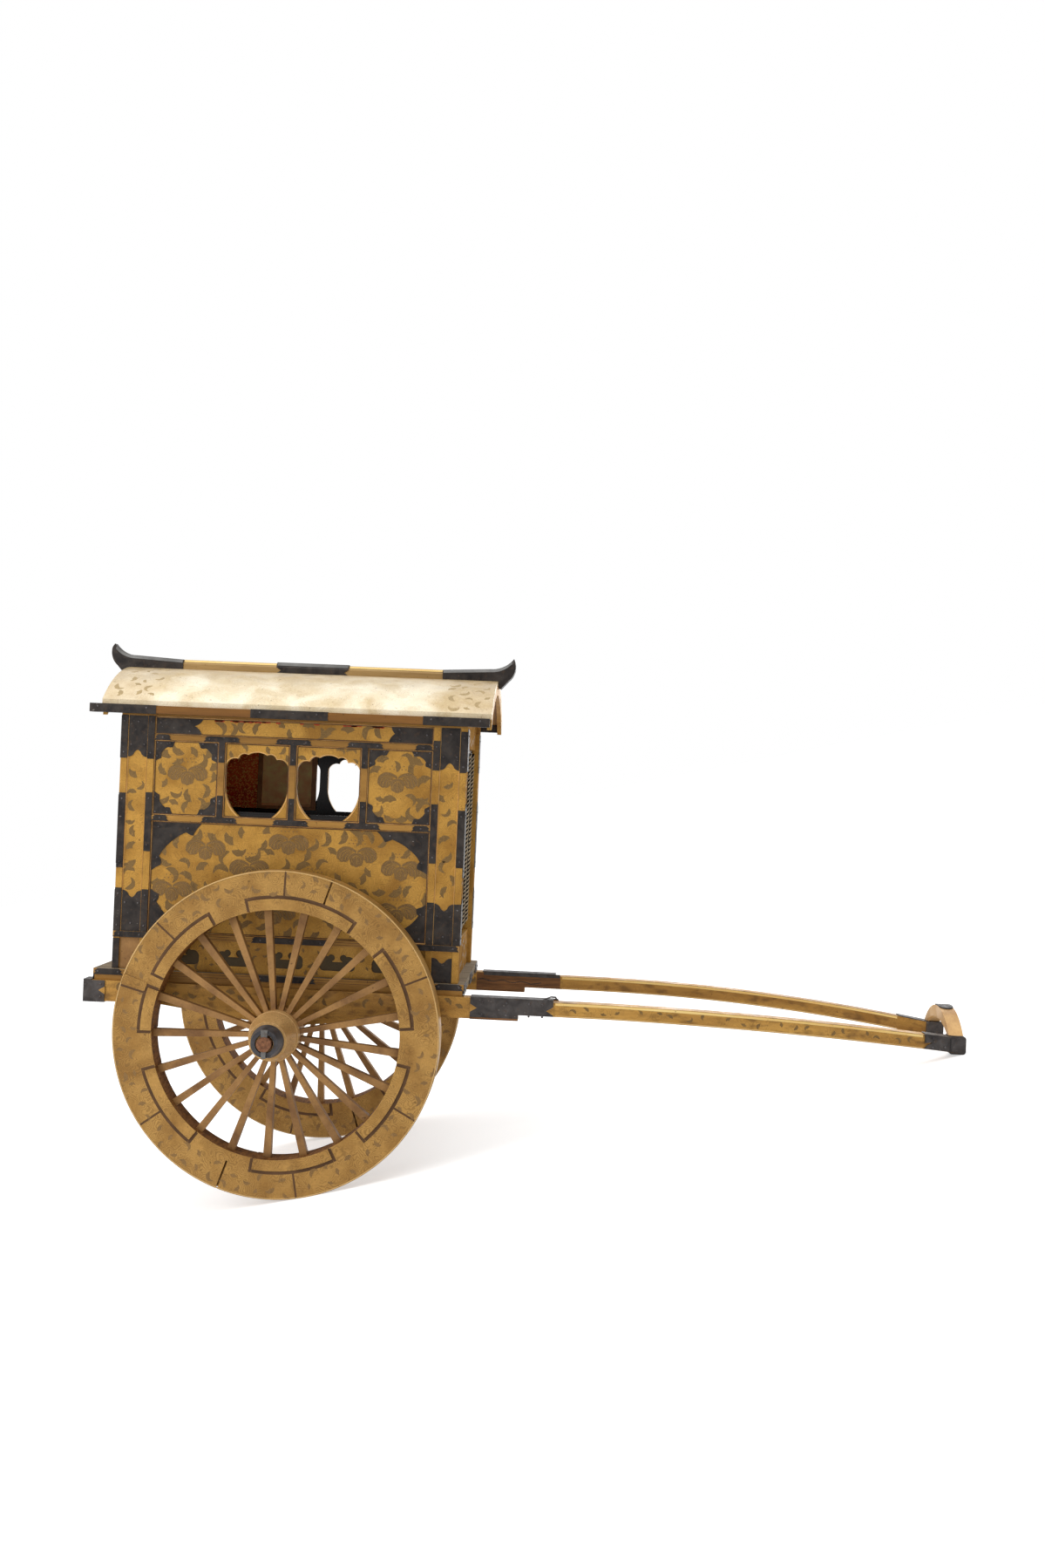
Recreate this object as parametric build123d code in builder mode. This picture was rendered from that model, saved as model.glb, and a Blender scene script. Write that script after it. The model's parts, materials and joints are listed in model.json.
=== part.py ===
from build123d import *
import os
from math import asin, atan2, cos, degrees, hypot, sin

# Display model of a two-wheeled ox-drawn court carriage: a boxed cabin under a bowed roof, on two
# large spoked wheels, with long shafts that curve together to a bowed yoke.
# Millimetres. In the carriage's own frame X runs forward along the shafts, Y to the left and
# Z up from the tread of the wheels, with the axle at X = 0. Heights are stacked from the axle and
# widths from the cabin. The whole carriage is then pitched about its axle until the tips of the
# shafts stand on the floor, as it parks without an ox.

# Wheels
WHEEL_R = 121.0
RIM_DEPTH = 29.2
RIM_WIDTH = 17.0
WHEEL_GAP = 6.0
SMALL_FELLOE_DEPTH = 8.2
SMALL_FELLOE_PROUD = 0.8
SMALL_FELLOE_GROOVE = 0.9
FELLOE_JOINT_WIDTH = 1.0
FELLOE_JOINT_DEPTH = 0.9
OPEN_JOINT_WIDTH = 1.5
OPEN_JOINT_DEPTH = 5.0
SPOKE_COUNT = 21
SPOKE_RIM_WIDTH = 5.6
SPOKE_HUB_WIDTH = 3.4
SPOKE_DEPTH = 6.0
SPOKE_DISH = 5.0
SPOKE_FIRST_ANGLE = 6.4
SPOKE_TENON = 1.5

# Joints of the outer felloes, those that have dried open, and the spans of the small felloes let
# into the rim, all in degrees clockwise from the top as the wheel's outer face is seen
FELLOE_JOINTS = (1.4, 66.5, 118.8, 170.2, 233.9, 285.2, 310.8)
OPEN_JOINTS = (18.2, 198.7)
SMALL_FELLOES = (
    (-13.9, 32.6),
    (49.9, 84.1),
    (101.6, 136.6),
    (152.6, 187.6),
    (217.1, 252.2),
    (269.4, 287.8),
    (294.4, 328.0),
)

# Hubs and axle
HUB_R = 18.4
HUB_BACK = 7.5
HUB_INNER_R = 15.0
HUB_INNER_GAP = 1.0
HUB_FLANGE = 7.5
HUB_GROOVE_WIDTH = 1.2
HUB_GROOVE_R = 16.4
HUB_TAPER_R = 17.6
HUB_TAPER_END_R = 13.0
COLLAR_R = 13.8
COLLAR_LENGTH = 2.2
HUB_NOSE_LENGTH = 46.0
NOSE_RING_R = 12.0
NOSE_RING_FRONT_R = 9.8
NOSE_RING_WALL = 1.8
NOSE_RING_LENGTH = 11.0
NOSE_RECESS_R = 6.7
NOSE_RECESS_DEPTH = 3.4
JOURNAL_R = 5.3
JOURNAL_CLEARANCE = 0.2
JOURNAL_PROUD = 2.7
AXLE_BEAM = 14.0
LINCHPIN_GAP = 0.3
LINCHPIN_THICK = 1.6
LINCHPIN_LENGTH = 20.4
LINCHPIN_TOP_WIDTH = 4.8
LINCHPIN_FOOT_WIDTH = 3.0

# Shafts
SHAFT_WIDTH = 11.0
SHAFT_HEIGHT = 15.6
SHAFT_RISE = 15.2
SHAFT_OUTSET = 7.5
SHAFT_TAIL = 5.1
BELLY_REAR_X = -95.0
BELLY_FRONT_X = 116.0
BELLY_DROP = 11.8
SLEEVE_GAP = 5.7
SLEEVE_DEEP_LENGTH = 36.0
SLEEVE_LENGTH = 62.0
SLEEVE_STEP = 4.1
SLEEVE_THICK = 0.8
POLE_SINK = 0.9
POLE_HEIGHT = 10.8
POLE_STRAIGHT = 19.0
POLE_TURN = 48.0
POLE_DROOP = 19.6
SHAFT_REACH = 517.5
TIP_SPACING = 68.0
TAIL_CAP_LENGTH = 15.5
CAP_THICK = 0.7
TIP_CAP_LENGTH = 32.0
KNOB_LENGTH = 13.0
KNOB_PROUD = 1.5
KNOB_HEIGHT = 14.0
KNOB_DROP = 0.6
KNOB_ROUND = 2.5
KNOB_SIDE = 1.4

# Yoke
YOKE_SETBACK = 5.9
YOKE_DEPTH = 11.0
YOKE_RISE = 17.2
YOKE_FOOT_WIDTH = 9.0
YOKE_CROWN_HEIGHT = 10.5
YOKE_BEVEL = 1.4
CROWN_PLATE_WIDTH = 22.0
CROWN_PLATE_THICK = 0.9

# Platform
PLATFORM_REAR_MARGIN = 12.8
PLATFORM_FRONT_MARGIN = 4.9
PLATFORM_SIDE_MARGIN = 4.0
PLATFORM_UNDER = 4.0
PLATFORM_EDGE = 4.6
PLATFORM_STEP = 0.8
BEARER_WIDTH = 10.0
BEARER_HEIGHT = 10.0
BEARER_COUNT = 4
BEARER_SPACING = 70.0

# Cabin
CABIN_REAR_X = -132.6
CABIN_LENGTH = 263.0
CABIN_WIDTH = 144.0
POST_WIDTH = 25.5
POST_DEPTH = 14.0
POST_MOULDING = 5.0
POST_PANEL_SINK = 0.8
WALL_SINK = 1.4
WALL_THICK = 3.0
SKIRT_HEIGHT = 24.0
SKIRT_THICK = 3.0
SKIRT_SINK = 2.0
SILL_HEIGHT = 4.4
SILL_PROUD = 1.2
LOWER_PANEL_HEIGHT = 84.8
WAIST_HEIGHT = 4.2
UPPER_PANEL_HEIGHT = 57.0
HEAD_HEIGHT = 4.0
FRIEZE_HEIGHT = 13.8
BATTEN_WIDTH = 4.5
SIDE_BAY_WIDTH = 49.4
CABIN_FLOOR_THICK = 2.5

# Windows: half width and height above the foot of each cusp from the side up to the crown
WINDOW_CUSPS = ((23.75, 38.2), (14.4, 45.1), (7.1, 48.2))
WINDOW_HEIGHT = 50.2
WINDOW_FOOT_RISE = 24.5
WINDOW_FOOT_HALF = 10.0
WINDOW_LOBE_ROUND = 0.62

# Clouds sunk in the skirts
CLOUD_COUNT = 5
CLOUD_SPACING = 39.6
CLOUD_WIDTH = 27.0
CLOUD_RISE = 5.2
CLOUD_BASE = 6.8
CLOUD_LOBE_R = 4.9
CLOUD_LOBE_Z = 6.2
CLOUD_CURL_R = 2.6
CLOUD_CURL_Y = 4.6
CLOUD_CURL_Z = 9.8
CLOUD_DEPTH = 1.0

# Ends of the cabin
LINTEL_THICK = 6.0
LINTEL_SINK = 3.0
BLIND_SINK = 6.0
BLIND_THICK = 2.0
BLIND_SLAT = 2.0
BLIND_SLAT_RISE = 0.6
BLIND_MARGIN = 0.8
END_SILL_THICK = 8.0
GABLE_THICK = 5.0
PLATE_WIDTH = 9.0
PLATE_HEIGHT = 8.0

# Shutters that slide inside the side walls, and how far their middles stand from the axle
SHUTTER_WIDTH = 50.0
SHUTTER_HEIGHT = 52.0
SHUTTER_THICK = 2.4
SHUTTER_LIFT = 3.6
SHUTTER_FRAME = 4.0
SHUTTER_PANEL_SINK = 0.6
SHUTTER_CLEARANCE = 0.3
SHUTTER_RAIL_HEIGHT = 3.0
SHUTTER_RAIL_LIP = 1.6
SHUTTER_RAIL_GROOVE = 1.5
SHUTTER_LEFT_X = -32.0
SHUTTER_RIGHT_X = -79.0

# Roof
ROOF_REAR_OVERHANG = 14.4
ROOF_FRONT_OVERHANG = 17.6
ROOF_SIDE_OVERHANG = 4.0
ROOF_RISE = 29.6
ROOF_SKEW = 1.4
ROOF_THICK = 3.0
ROOF_EDGE = 4.0
ROOF_FOOT = 3.0
EAVE_LIFT = 1.6
EAVE_REAR = 8.0
EAVE_FRONT_SETBACK = 1.4
EAVE_WIDTH = 6.5
EAVE_HEIGHT = 5.8
EAVE_OVERHANG = 3.5
BARGE_THICK = 3.5
BARGE_HEIGHT = 8.0

# Ridge, and the outline of its horns: distances back from the brow and up from the roof
RIDGE_WIDTH = 11.0
RIDGE_HEIGHT = 7.6
RIDGE_BEVEL = 3.4
RIDGE_SEAT = 0.6
RIDGE_SHIFT = 1.8
RIDGE_CAP_LENGTH = 58.0
RIDGE_CAP_THICK = 0.8
RIDGE_CAP_NOTCH = 3.6
HORN_OVERHANG = 15.1
HORN_LENGTH = 58.0
HORN_WIDTH = 12.4
HORN_BEVEL = 3.0
HORN_BEVEL_DROP = 2.4
HORN_TIP = (1.6, 18.4)
HORN_HOLLOW = (8.5, 12.4)
HORN_SHOULDER = (20.0, 9.6)
HORN_BROW_RISE = 12.2
HORN_CHIN = (5.2, 0.6)
HORN_LOBE = (11.2, -6.1)
HORN_HEEL_DROP = 5.3

# Widths that several pieces share
cabin_half = CABIN_WIDTH / 2
platform_half = cabin_half + PLATFORM_SIDE_MARGIN
roof_half = cabin_half + ROOF_SIDE_OVERHANG
post_in = cabin_half - POST_DEPTH
wall_out = cabin_half - WALL_SINK
wall_in = wall_out - WALL_THICK
skirt_out = cabin_half - SKIRT_SINK
skirt_in = skirt_out - SKIRT_THICK
shaft_out = cabin_half + SHAFT_OUTSET
shaft_in = shaft_out - SHAFT_WIDTH
tip_out = TIP_SPACING / 2 + SHAFT_WIDTH / 2
tip_in = TIP_SPACING / 2 - SHAFT_WIDTH / 2
wheel_y = shaft_out + WHEEL_GAP + RIM_WIDTH / 2

# Places along the carriage
cabin_front_x = CABIN_REAR_X + CABIN_LENGTH
cabin_mid_x = CABIN_REAR_X + CABIN_LENGTH / 2
rear_post_x = CABIN_REAR_X + POST_WIDTH
front_post_x = cabin_front_x - POST_WIDTH
platform_rear_x = CABIN_REAR_X - PLATFORM_REAR_MARGIN
platform_front_x = cabin_front_x + PLATFORM_FRONT_MARGIN
shaft_tail_x = platform_rear_x - SHAFT_TAIL
sleeve_rear_x = platform_front_x + SLEEVE_GAP
sleeve_step_x = sleeve_rear_x + SLEEVE_DEEP_LENGTH
sleeve_front_x = sleeve_rear_x + SLEEVE_LENGTH
pole_droop_x = sleeve_front_x + POLE_STRAIGHT
pole_turn_x = pole_droop_x + POLE_TURN
knob_front_x = SHAFT_REACH + KNOB_PROUD
roof_rear_x = CABIN_REAR_X - ROOF_REAR_OVERHANG
roof_front_x = cabin_front_x + ROOF_FRONT_OVERHANG

# Heights, stacked from the axle
shaft_bottom_z = WHEEL_R + SHAFT_RISE
shaft_top_z = shaft_bottom_z + SHAFT_HEIGHT
belly_z = shaft_bottom_z - BELLY_DROP
pole_top_z = shaft_top_z - POLE_SINK
knob_bottom_z = pole_top_z - POLE_HEIGHT - POLE_DROOP - KNOB_DROP
knob_top_z = knob_bottom_z + KNOB_HEIGHT
platform_step_z = shaft_top_z + PLATFORM_UNDER
platform_top_z = platform_step_z + PLATFORM_EDGE
sill_z = platform_top_z + SKIRT_HEIGHT
sill_top_z = sill_z + SILL_HEIGHT
waist_z = sill_top_z + LOWER_PANEL_HEIGHT
waist_top_z = waist_z + WAIST_HEIGHT
head_z = waist_top_z + UPPER_PANEL_HEIGHT
head_top_z = head_z + HEAD_HEIGHT
post_top_z = head_top_z + FRIEZE_HEIGHT
eave_bottom_z = post_top_z + EAVE_LIFT
eave_top_z = eave_bottom_z + EAVE_HEIGHT
roof_edge_z = eave_top_z + ROOF_EDGE
roof_top_z = roof_edge_z + ROOF_RISE

# Pitch that stands the rounded underside of the knobs on the floor
knob_round_x = knob_front_x - KNOB_ROUND
knob_round_z = knob_bottom_z + KNOB_ROUND - WHEEL_R
knob_reach = hypot(knob_round_x, knob_round_z)
park_pitch = atan2(knob_round_z, knob_round_x) + asin((WHEEL_R - KNOB_ROUND) / knob_reach)

# The carriage's own frame, pitched about the axle
FORWARD = Vector(cos(park_pitch), 0, -sin(park_pitch))
UP = Vector(sin(park_pitch), 0, cos(park_pitch))
LEFT = Vector(0, 1, 0)
AXLE_CENTRE = Vector(0, 0, WHEEL_R)
BODY = Plane(origin=AXLE_CENTRE - UP * WHEEL_R, x_dir=FORWARD, z_dir=UP)
SIDES = ((-1, "right"), (1, "left"))
ENDS = ((-1, "rear"), (1, "front"))

os.makedirs("parts", exist_ok=True)


def side_plane(y):
    """Plane seen from the right, with X forward and Z up, at a distance y to the left."""
    return Plane(origin=BODY.origin + LEFT * y, x_dir=FORWARD, z_dir=-LEFT)


def end_plane(x):
    """Plane seen from the front, with Y to the left and Z up, at a distance x forward."""
    return Plane(origin=BODY.origin + FORWARD * x, x_dir=LEFT, z_dir=FORWARD)


def level_plane(z):
    """Plane seen from above, with X forward and Y to the left, at a height z."""
    return Plane(origin=BODY.origin + UP * z, x_dir=FORWARD, z_dir=UP)


def wheel_plane(side):
    """Plane through the middle of a wheel that faces outward, with up along the cabin's posts."""
    return Plane(origin=AXLE_CENTRE + LEFT * (side * wheel_y), x_dir=FORWARD * -side, z_dir=LEFT * side)


def block(x, y, z, mode=Mode.ADD):
    """Box between two values along each direction of the carriage's frame."""
    with Locations((min(x), min(y), min(z))):
        Box(
            abs(x[1] - x[0]),
            abs(y[1] - y[0]),
            abs(z[1] - z[0]),
            align=(Align.MIN, Align.MIN, Align.MIN),
            mode=mode,
        )


def both_sides(y):
    """The same span of Y on the right and on the left."""
    return ((-1, (-y[0], -y[1])), (1, y))


def save(builder, name):
    """Labels a finished piece and writes it."""
    builder.part.label = name
    export_step(builder.part, f"parts/{name}.step")


# Axle: a square beam let into the bellies of the shafts, with a round journal at each end
def linchpin_outline():
    """Tapered bar through the end of the axle, wider at its head."""
    Polyline(
        (-LINCHPIN_TOP_WIDTH / 2, WHEEL_R + LINCHPIN_LENGTH / 2),
        (LINCHPIN_TOP_WIDTH / 2, WHEEL_R + LINCHPIN_LENGTH / 2),
        (LINCHPIN_FOOT_WIDTH / 2, WHEEL_R - LINCHPIN_LENGTH / 2),
        (-LINCHPIN_FOOT_WIDTH / 2, WHEEL_R - LINCHPIN_LENGTH / 2),
        close=True,
    )


nose_tip_y = wheel_y + HUB_NOSE_LENGTH
pin_y = nose_tip_y + LINCHPIN_GAP
beam_z = (WHEEL_R - AXLE_BEAM / 2, WHEEL_R + AXLE_BEAM / 2)
with BuildPart(BODY) as linchpins:
    for side in (-1, 1):
        with BuildSketch(side_plane(side * pin_y)):
            with BuildLine():
                linchpin_outline()
            make_face()
        extrude(amount=-side * LINCHPIN_THICK)
save(linchpins, "linchpins")

with BuildPart(BODY) as axle:
    block((-AXLE_BEAM / 2, AXLE_BEAM / 2), (-shaft_out, shaft_out), beam_z)
    with BuildSketch(side_plane(0)):
        with Locations((0, WHEEL_R)):
            Circle(JOURNAL_R)
    extrude(amount=nose_tip_y + JOURNAL_PROUD, both=True)
    for side in (-1, 1):
        with BuildSketch(side_plane(side * pin_y)):
            with BuildLine():
                linchpin_outline()
            make_face()
        extrude(amount=-side * LINCHPIN_THICK, mode=Mode.SUBTRACT)
save(axle, "axle")

# Wheels
rim_inner_r = WHEEL_R - RIM_DEPTH
small_felloe_r = rim_inner_r + SMALL_FELLOE_DEPTH
rim_half = RIM_WIDTH / 2
hub_inner_y = wheel_y - shaft_out - HUB_INNER_GAP


def felloe_sector(radius, first, last):
    """Pie slice between two angles clockwise from the top."""
    CenterArc((0, 0), radius, 90 - last, last - first)
    for angle in (first, last):
        Line((0, 0), PolarLine((0, 0), radius, 90 - angle, mode=Mode.PRIVATE) @ 1)


for side, name in SIDES:
    plane = wheel_plane(side)

    # Rim: a broad ring with a grooved seat for each small felloe and a groove at each joint
    with BuildPart(plane) as rim:
        with BuildSketch(plane.offset(-rim_half)):
            Circle(WHEEL_R)
            Circle(rim_inner_r, mode=Mode.SUBTRACT)
        extrude(amount=RIM_WIDTH)
        groove_angle = degrees(SMALL_FELLOE_GROOVE / small_felloe_r)
        for first, last in SMALL_FELLOES:
            with BuildSketch(plane.offset(-rim_half)):
                with BuildLine():
                    felloe_sector(small_felloe_r, first, last)
                make_face()
            extrude(amount=RIM_WIDTH, mode=Mode.SUBTRACT)
            for face in (-rim_half, rim_half):
                with BuildSketch(plane.offset(face - SMALL_FELLOE_GROOVE)):
                    with BuildLine():
                        groove_r = small_felloe_r + SMALL_FELLOE_GROOVE
                        felloe_sector(groove_r, first - groove_angle, last + groove_angle)
                    make_face()
                extrude(amount=2 * SMALL_FELLOE_GROOVE, mode=Mode.SUBTRACT)
        joint_length = RIM_DEPTH - SMALL_FELLOE_DEPTH
        joint_mid = small_felloe_r + joint_length / 2
        for face in (-rim_half, rim_half):
            for angles, width, depth in (
                (FELLOE_JOINTS, FELLOE_JOINT_WIDTH, FELLOE_JOINT_DEPTH),
                (OPEN_JOINTS, OPEN_JOINT_WIDTH, OPEN_JOINT_DEPTH),
            ):
                for angle in angles:
                    with Locations(Pos(0, 0, face) * Rot(0, 0, 90 - angle) * Pos(joint_mid, 0, 0)):
                        Box(joint_length + width, width, 2 * depth, mode=Mode.SUBTRACT)
    save(rim, f"rim_{name}")

    # Small felloes: seven curved blocks let into the inside of the rim, a little proud of it
    with BuildPart(plane) as small_felloes:
        for first, last in SMALL_FELLOES:
            with BuildSketch(plane.offset(-rim_half - SMALL_FELLOE_PROUD)):
                with BuildLine():
                    felloe_sector(small_felloe_r, first, last)
                make_face()
                Circle(rim_inner_r, mode=Mode.SUBTRACT)
            extrude(amount=RIM_WIDTH + 2 * SMALL_FELLOE_PROUD)
    save(small_felloes, f"small_felloes_{name}")

    # Spokes: flat tapered bars, narrow at the hub, dished outward towards it
    with BuildPart() as spoke:
        spoke_root = Plane(origin=(HUB_R - SPOKE_TENON, 0, SPOKE_DISH), x_dir=(0, 1, 0), z_dir=(1, 0, 0))
        with BuildSketch(spoke_root):
            Rectangle(SPOKE_HUB_WIDTH, SPOKE_DEPTH)
        with BuildSketch(Plane(origin=(rim_inner_r, 0, 0), x_dir=(0, 1, 0), z_dir=(1, 0, 0))):
            Rectangle(SPOKE_RIM_WIDTH, SPOKE_DEPTH)
        loft(ruled=True)
    with BuildPart(plane) as spokes:
        for count in range(SPOKE_COUNT):
            with Locations(Rot(0, 0, 90 + SPOKE_FIRST_ANGLE - count * 360 / SPOKE_COUNT)):
                add(spoke.part)
        with BuildSketch(plane.offset(-rim_half)):
            Circle(HUB_R)
        extrude(amount=RIM_WIDTH + SPOKE_DISH, mode=Mode.SUBTRACT)
        with BuildSketch(plane.offset(-rim_half)):
            Circle(WHEEL_R)
            Circle(rim_inner_r, mode=Mode.SUBTRACT)
        extrude(amount=RIM_WIDTH, mode=Mode.SUBTRACT)
    save(spokes, f"spokes_{name}")

    # Hub: turned in steps from the spokes out to its nose, bored for the journal; each step is a
    # radius and a distance out from the middle of the wheel
    bore_r = JOURNAL_R + JOURNAL_CLEARANCE
    ring_start = HUB_NOSE_LENGTH - NOSE_RING_LENGTH
    collar_start = ring_start - COLLAR_LENGTH
    flange_end = SPOKE_DISH + SPOKE_DEPTH / 2 + HUB_FLANGE
    groove_end = flange_end + HUB_GROOVE_WIDTH
    hub_turns = (
        (bore_r, -hub_inner_y),
        (HUB_INNER_R, -hub_inner_y),
        (HUB_INNER_R, -HUB_BACK),
        (HUB_R, -HUB_BACK),
        (HUB_R, flange_end),
        (HUB_GROOVE_R, flange_end),
        (HUB_GROOVE_R, groove_end),
        (HUB_TAPER_R, groove_end),
        (HUB_TAPER_END_R, collar_start),
        (COLLAR_R, collar_start),
        (COLLAR_R, ring_start),
        (NOSE_RING_R - NOSE_RING_WALL, ring_start),
        (NOSE_RING_FRONT_R - NOSE_RING_WALL, HUB_NOSE_LENGTH),
        (NOSE_RECESS_R, HUB_NOSE_LENGTH),
        (NOSE_RECESS_R, HUB_NOSE_LENGTH - NOSE_RECESS_DEPTH),
        (bore_r, HUB_NOSE_LENGTH - NOSE_RECESS_DEPTH),
    )
    turning_plane = Plane(origin=plane.origin, x_dir=plane.x_dir, z_dir=-plane.y_dir)
    wheel_axis = Axis(plane.origin, plane.z_dir)
    with BuildPart(plane) as hub:
        with BuildSketch(turning_plane):
            with BuildLine():
                Polyline(*hub_turns, close=True)
            make_face()
        revolve(axis=wheel_axis)
    save(hub, f"hub_{name}")

    # Nose ring: the tapered iron tyre round the mouth of the hub
    with BuildPart(plane) as nose_ring:
        with BuildSketch(turning_plane):
            with BuildLine():
                Polyline(
                    (NOSE_RING_R, ring_start),
                    (NOSE_RING_FRONT_R, HUB_NOSE_LENGTH),
                    (NOSE_RING_FRONT_R - NOSE_RING_WALL, HUB_NOSE_LENGTH),
                    (NOSE_RING_R - NOSE_RING_WALL, ring_start),
                    close=True,
                )
            make_face()
        revolve(axis=wheel_axis)
    save(nose_ring, f"nose_ring_{name}")


# Shafts: one bar each from tail to tip, deep and straight under the platform with a belly that
# bears on the axle, then slim, drooping and curving inward to the yoke
def pole_elevation(grow):
    """Side outline of the drooping front of a shaft, or with a plate laid on its top."""
    top = pole_top_z + grow
    bottom = pole_top_z - POLE_HEIGHT
    Line((pole_droop_x, bottom), (pole_droop_x, top))
    TangentArc((pole_droop_x, top), (SHAFT_REACH, top - POLE_DROOP), tangent=(1, 0))
    Line((SHAFT_REACH, top - POLE_DROOP), (SHAFT_REACH, bottom - POLE_DROOP))
    TangentArc((pole_droop_x, bottom), (SHAFT_REACH, bottom - POLE_DROOP), tangent=(1, 0))


def shaft_plan(side, grow):
    """Plan of a shaft from its tail to its tip, or with a plate laid on its outer face."""
    out = side * (shaft_out + grow)
    inner = side * shaft_in
    out_end = side * (tip_out + grow)
    in_end = side * tip_in
    Line((shaft_tail_x, inner), (shaft_tail_x, out))
    Line((shaft_tail_x, out), (pole_turn_x, out))
    TangentArc((pole_turn_x, out), (SHAFT_REACH, out_end), tangent=(1, 0))
    Line((SHAFT_REACH, out_end), (SHAFT_REACH, in_end))
    TangentArc((pole_turn_x, inner), (SHAFT_REACH, in_end), tangent=(1, 0))
    Line((pole_turn_x, inner), (shaft_tail_x, inner))


for side, name in SIDES:
    with BuildPart(BODY) as shaft:
        with BuildSketch(side_plane(0)):
            with BuildLine():
                pole_elevation(0)
            make_face()
            with BuildLine():
                Polyline(
                    (shaft_tail_x, shaft_top_z),
                    (sleeve_front_x, shaft_top_z),
                    (sleeve_front_x, pole_top_z),
                    (pole_droop_x, pole_top_z),
                    (pole_droop_x, pole_top_z - POLE_HEIGHT),
                    (sleeve_step_x, shaft_bottom_z + SLEEVE_STEP),
                    (sleeve_step_x, shaft_bottom_z),
                    (BELLY_FRONT_X, shaft_bottom_z),
                    (AXLE_BEAM / 2, belly_z),
                    (AXLE_BEAM / 2, beam_z[1]),
                    (-AXLE_BEAM / 2, beam_z[1]),
                    (-AXLE_BEAM / 2, belly_z),
                    (BELLY_REAR_X, shaft_bottom_z),
                    (shaft_tail_x, shaft_bottom_z),
                    close=True,
                )
            make_face()
        extrude(amount=2 * shaft_out, both=True)
        with BuildSketch(level_plane(0)):
            with BuildLine():
                shaft_plan(side, 0)
            make_face()
        extrude(amount=2 * shaft_top_z, mode=Mode.INTERSECT)
    save(shaft, f"shaft_{name}")

    # Tip cap: iron plates on the top and the outer face of the tip, closed by a rounded knob
    with BuildPart(BODY) as tip_plates:
        with BuildSketch(side_plane(0)):
            with BuildLine():
                pole_elevation(CAP_THICK)
            make_face()
        extrude(amount=2 * shaft_out, both=True)
        with BuildSketch(level_plane(0)):
            with BuildLine():
                shaft_plan(side, CAP_THICK)
            make_face()
        extrude(amount=2 * shaft_top_z, mode=Mode.INTERSECT)
        with BuildSketch(end_plane(SHAFT_REACH - TIP_CAP_LENGTH)):
            with Locations((0, pole_top_z)):
                Rectangle(4 * shaft_out, 4 * POLE_HEIGHT)
        extrude(amount=2 * TIP_CAP_LENGTH, mode=Mode.INTERSECT)
    with BuildPart(BODY) as knob:
        knob_x = (knob_front_x - KNOB_LENGTH, knob_front_x)
        knob_y = (side * (tip_in - KNOB_SIDE), side * (tip_out + KNOB_SIDE))
        block(knob_x, knob_y, (knob_bottom_z, knob_top_z))
        fillet(knob.edges().filter_by(Axis.Y), KNOB_ROUND)
    with BuildPart() as tip_cap:
        add(knob.part)
        add(tip_plates.part)
        add(shaft.part, mode=Mode.SUBTRACT)
    save(tip_cap, f"tip_cap_{name}")

# Sleeves: iron angle plates over the top and the outer face of each shaft ahead of the platform
with BuildPart(BODY) as shaft_sleeves:
    plate_top = shaft_top_z + SLEEVE_THICK
    for side in (-1, 1):
        plate_y = (side * shaft_out, side * (shaft_out + SLEEVE_THICK))
        top_y = (side * shaft_in, side * shaft_out)
        step_z = shaft_bottom_z + SLEEVE_STEP
        block((sleeve_rear_x, sleeve_step_x), plate_y, (shaft_bottom_z, plate_top))
        block((sleeve_step_x, sleeve_front_x), plate_y, (step_z, plate_top))
        block((sleeve_rear_x, sleeve_front_x), top_y, (shaft_top_z, plate_top))
save(shaft_sleeves, "shaft_sleeves")

# Tail caps: iron boxes over the rear ends of the shafts, cut back where the platform rests
tail_x = (shaft_tail_x - CAP_THICK, shaft_tail_x + TAIL_CAP_LENGTH)
tail_z = (shaft_bottom_z - CAP_THICK, shaft_top_z + CAP_THICK)
with BuildPart(BODY) as tail_caps:
    for side in (-1, 1):
        cap_y = (side * (shaft_in - CAP_THICK), side * (shaft_out + CAP_THICK))
        core_y = (side * shaft_in, side * shaft_out)
        block(tail_x, cap_y, tail_z)
        block((shaft_tail_x, tail_x[1]), core_y, (shaft_bottom_z, shaft_top_z), Mode.SUBTRACT)
        block((platform_rear_x, 0), (0, side * 2 * shaft_out), (shaft_top_z, platform_top_z), Mode.SUBTRACT)
save(tail_caps, "tail_caps")

# Yoke: a bow with bevelled inner edges that stands on the two knobs
yoke_top_z = knob_top_z + YOKE_RISE
yoke_out = TIP_SPACING / 2 + YOKE_FOOT_WIDTH / 2
yoke_in = TIP_SPACING / 2 - YOKE_FOOT_WIDTH / 2
yoke_x = SHAFT_REACH - YOKE_SETBACK
yoke_plane = end_plane(yoke_x - YOKE_DEPTH / 2)
with BuildPart(BODY) as yoke:
    with BuildSketch(yoke_plane):
        with BuildLine():
            ThreePointArc((-yoke_out, knob_top_z), (0, yoke_top_z), (yoke_out, knob_top_z))
            Line((yoke_out, knob_top_z), (yoke_in, knob_top_z))
            crown_low = (0, yoke_top_z - YOKE_CROWN_HEIGHT)
            ThreePointArc((yoke_in, knob_top_z), crown_low, (-yoke_in, knob_top_z))
            Line((-yoke_in, knob_top_z), (-yoke_out, knob_top_z))
        make_face()
    extrude(amount=YOKE_DEPTH)
    arcs = yoke.edges().filter_by(GeomType.CIRCLE).sort_by(SortBy.LENGTH)
    chamfer(arcs[0:2], YOKE_BEVEL)
save(yoke, "yoke")

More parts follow.
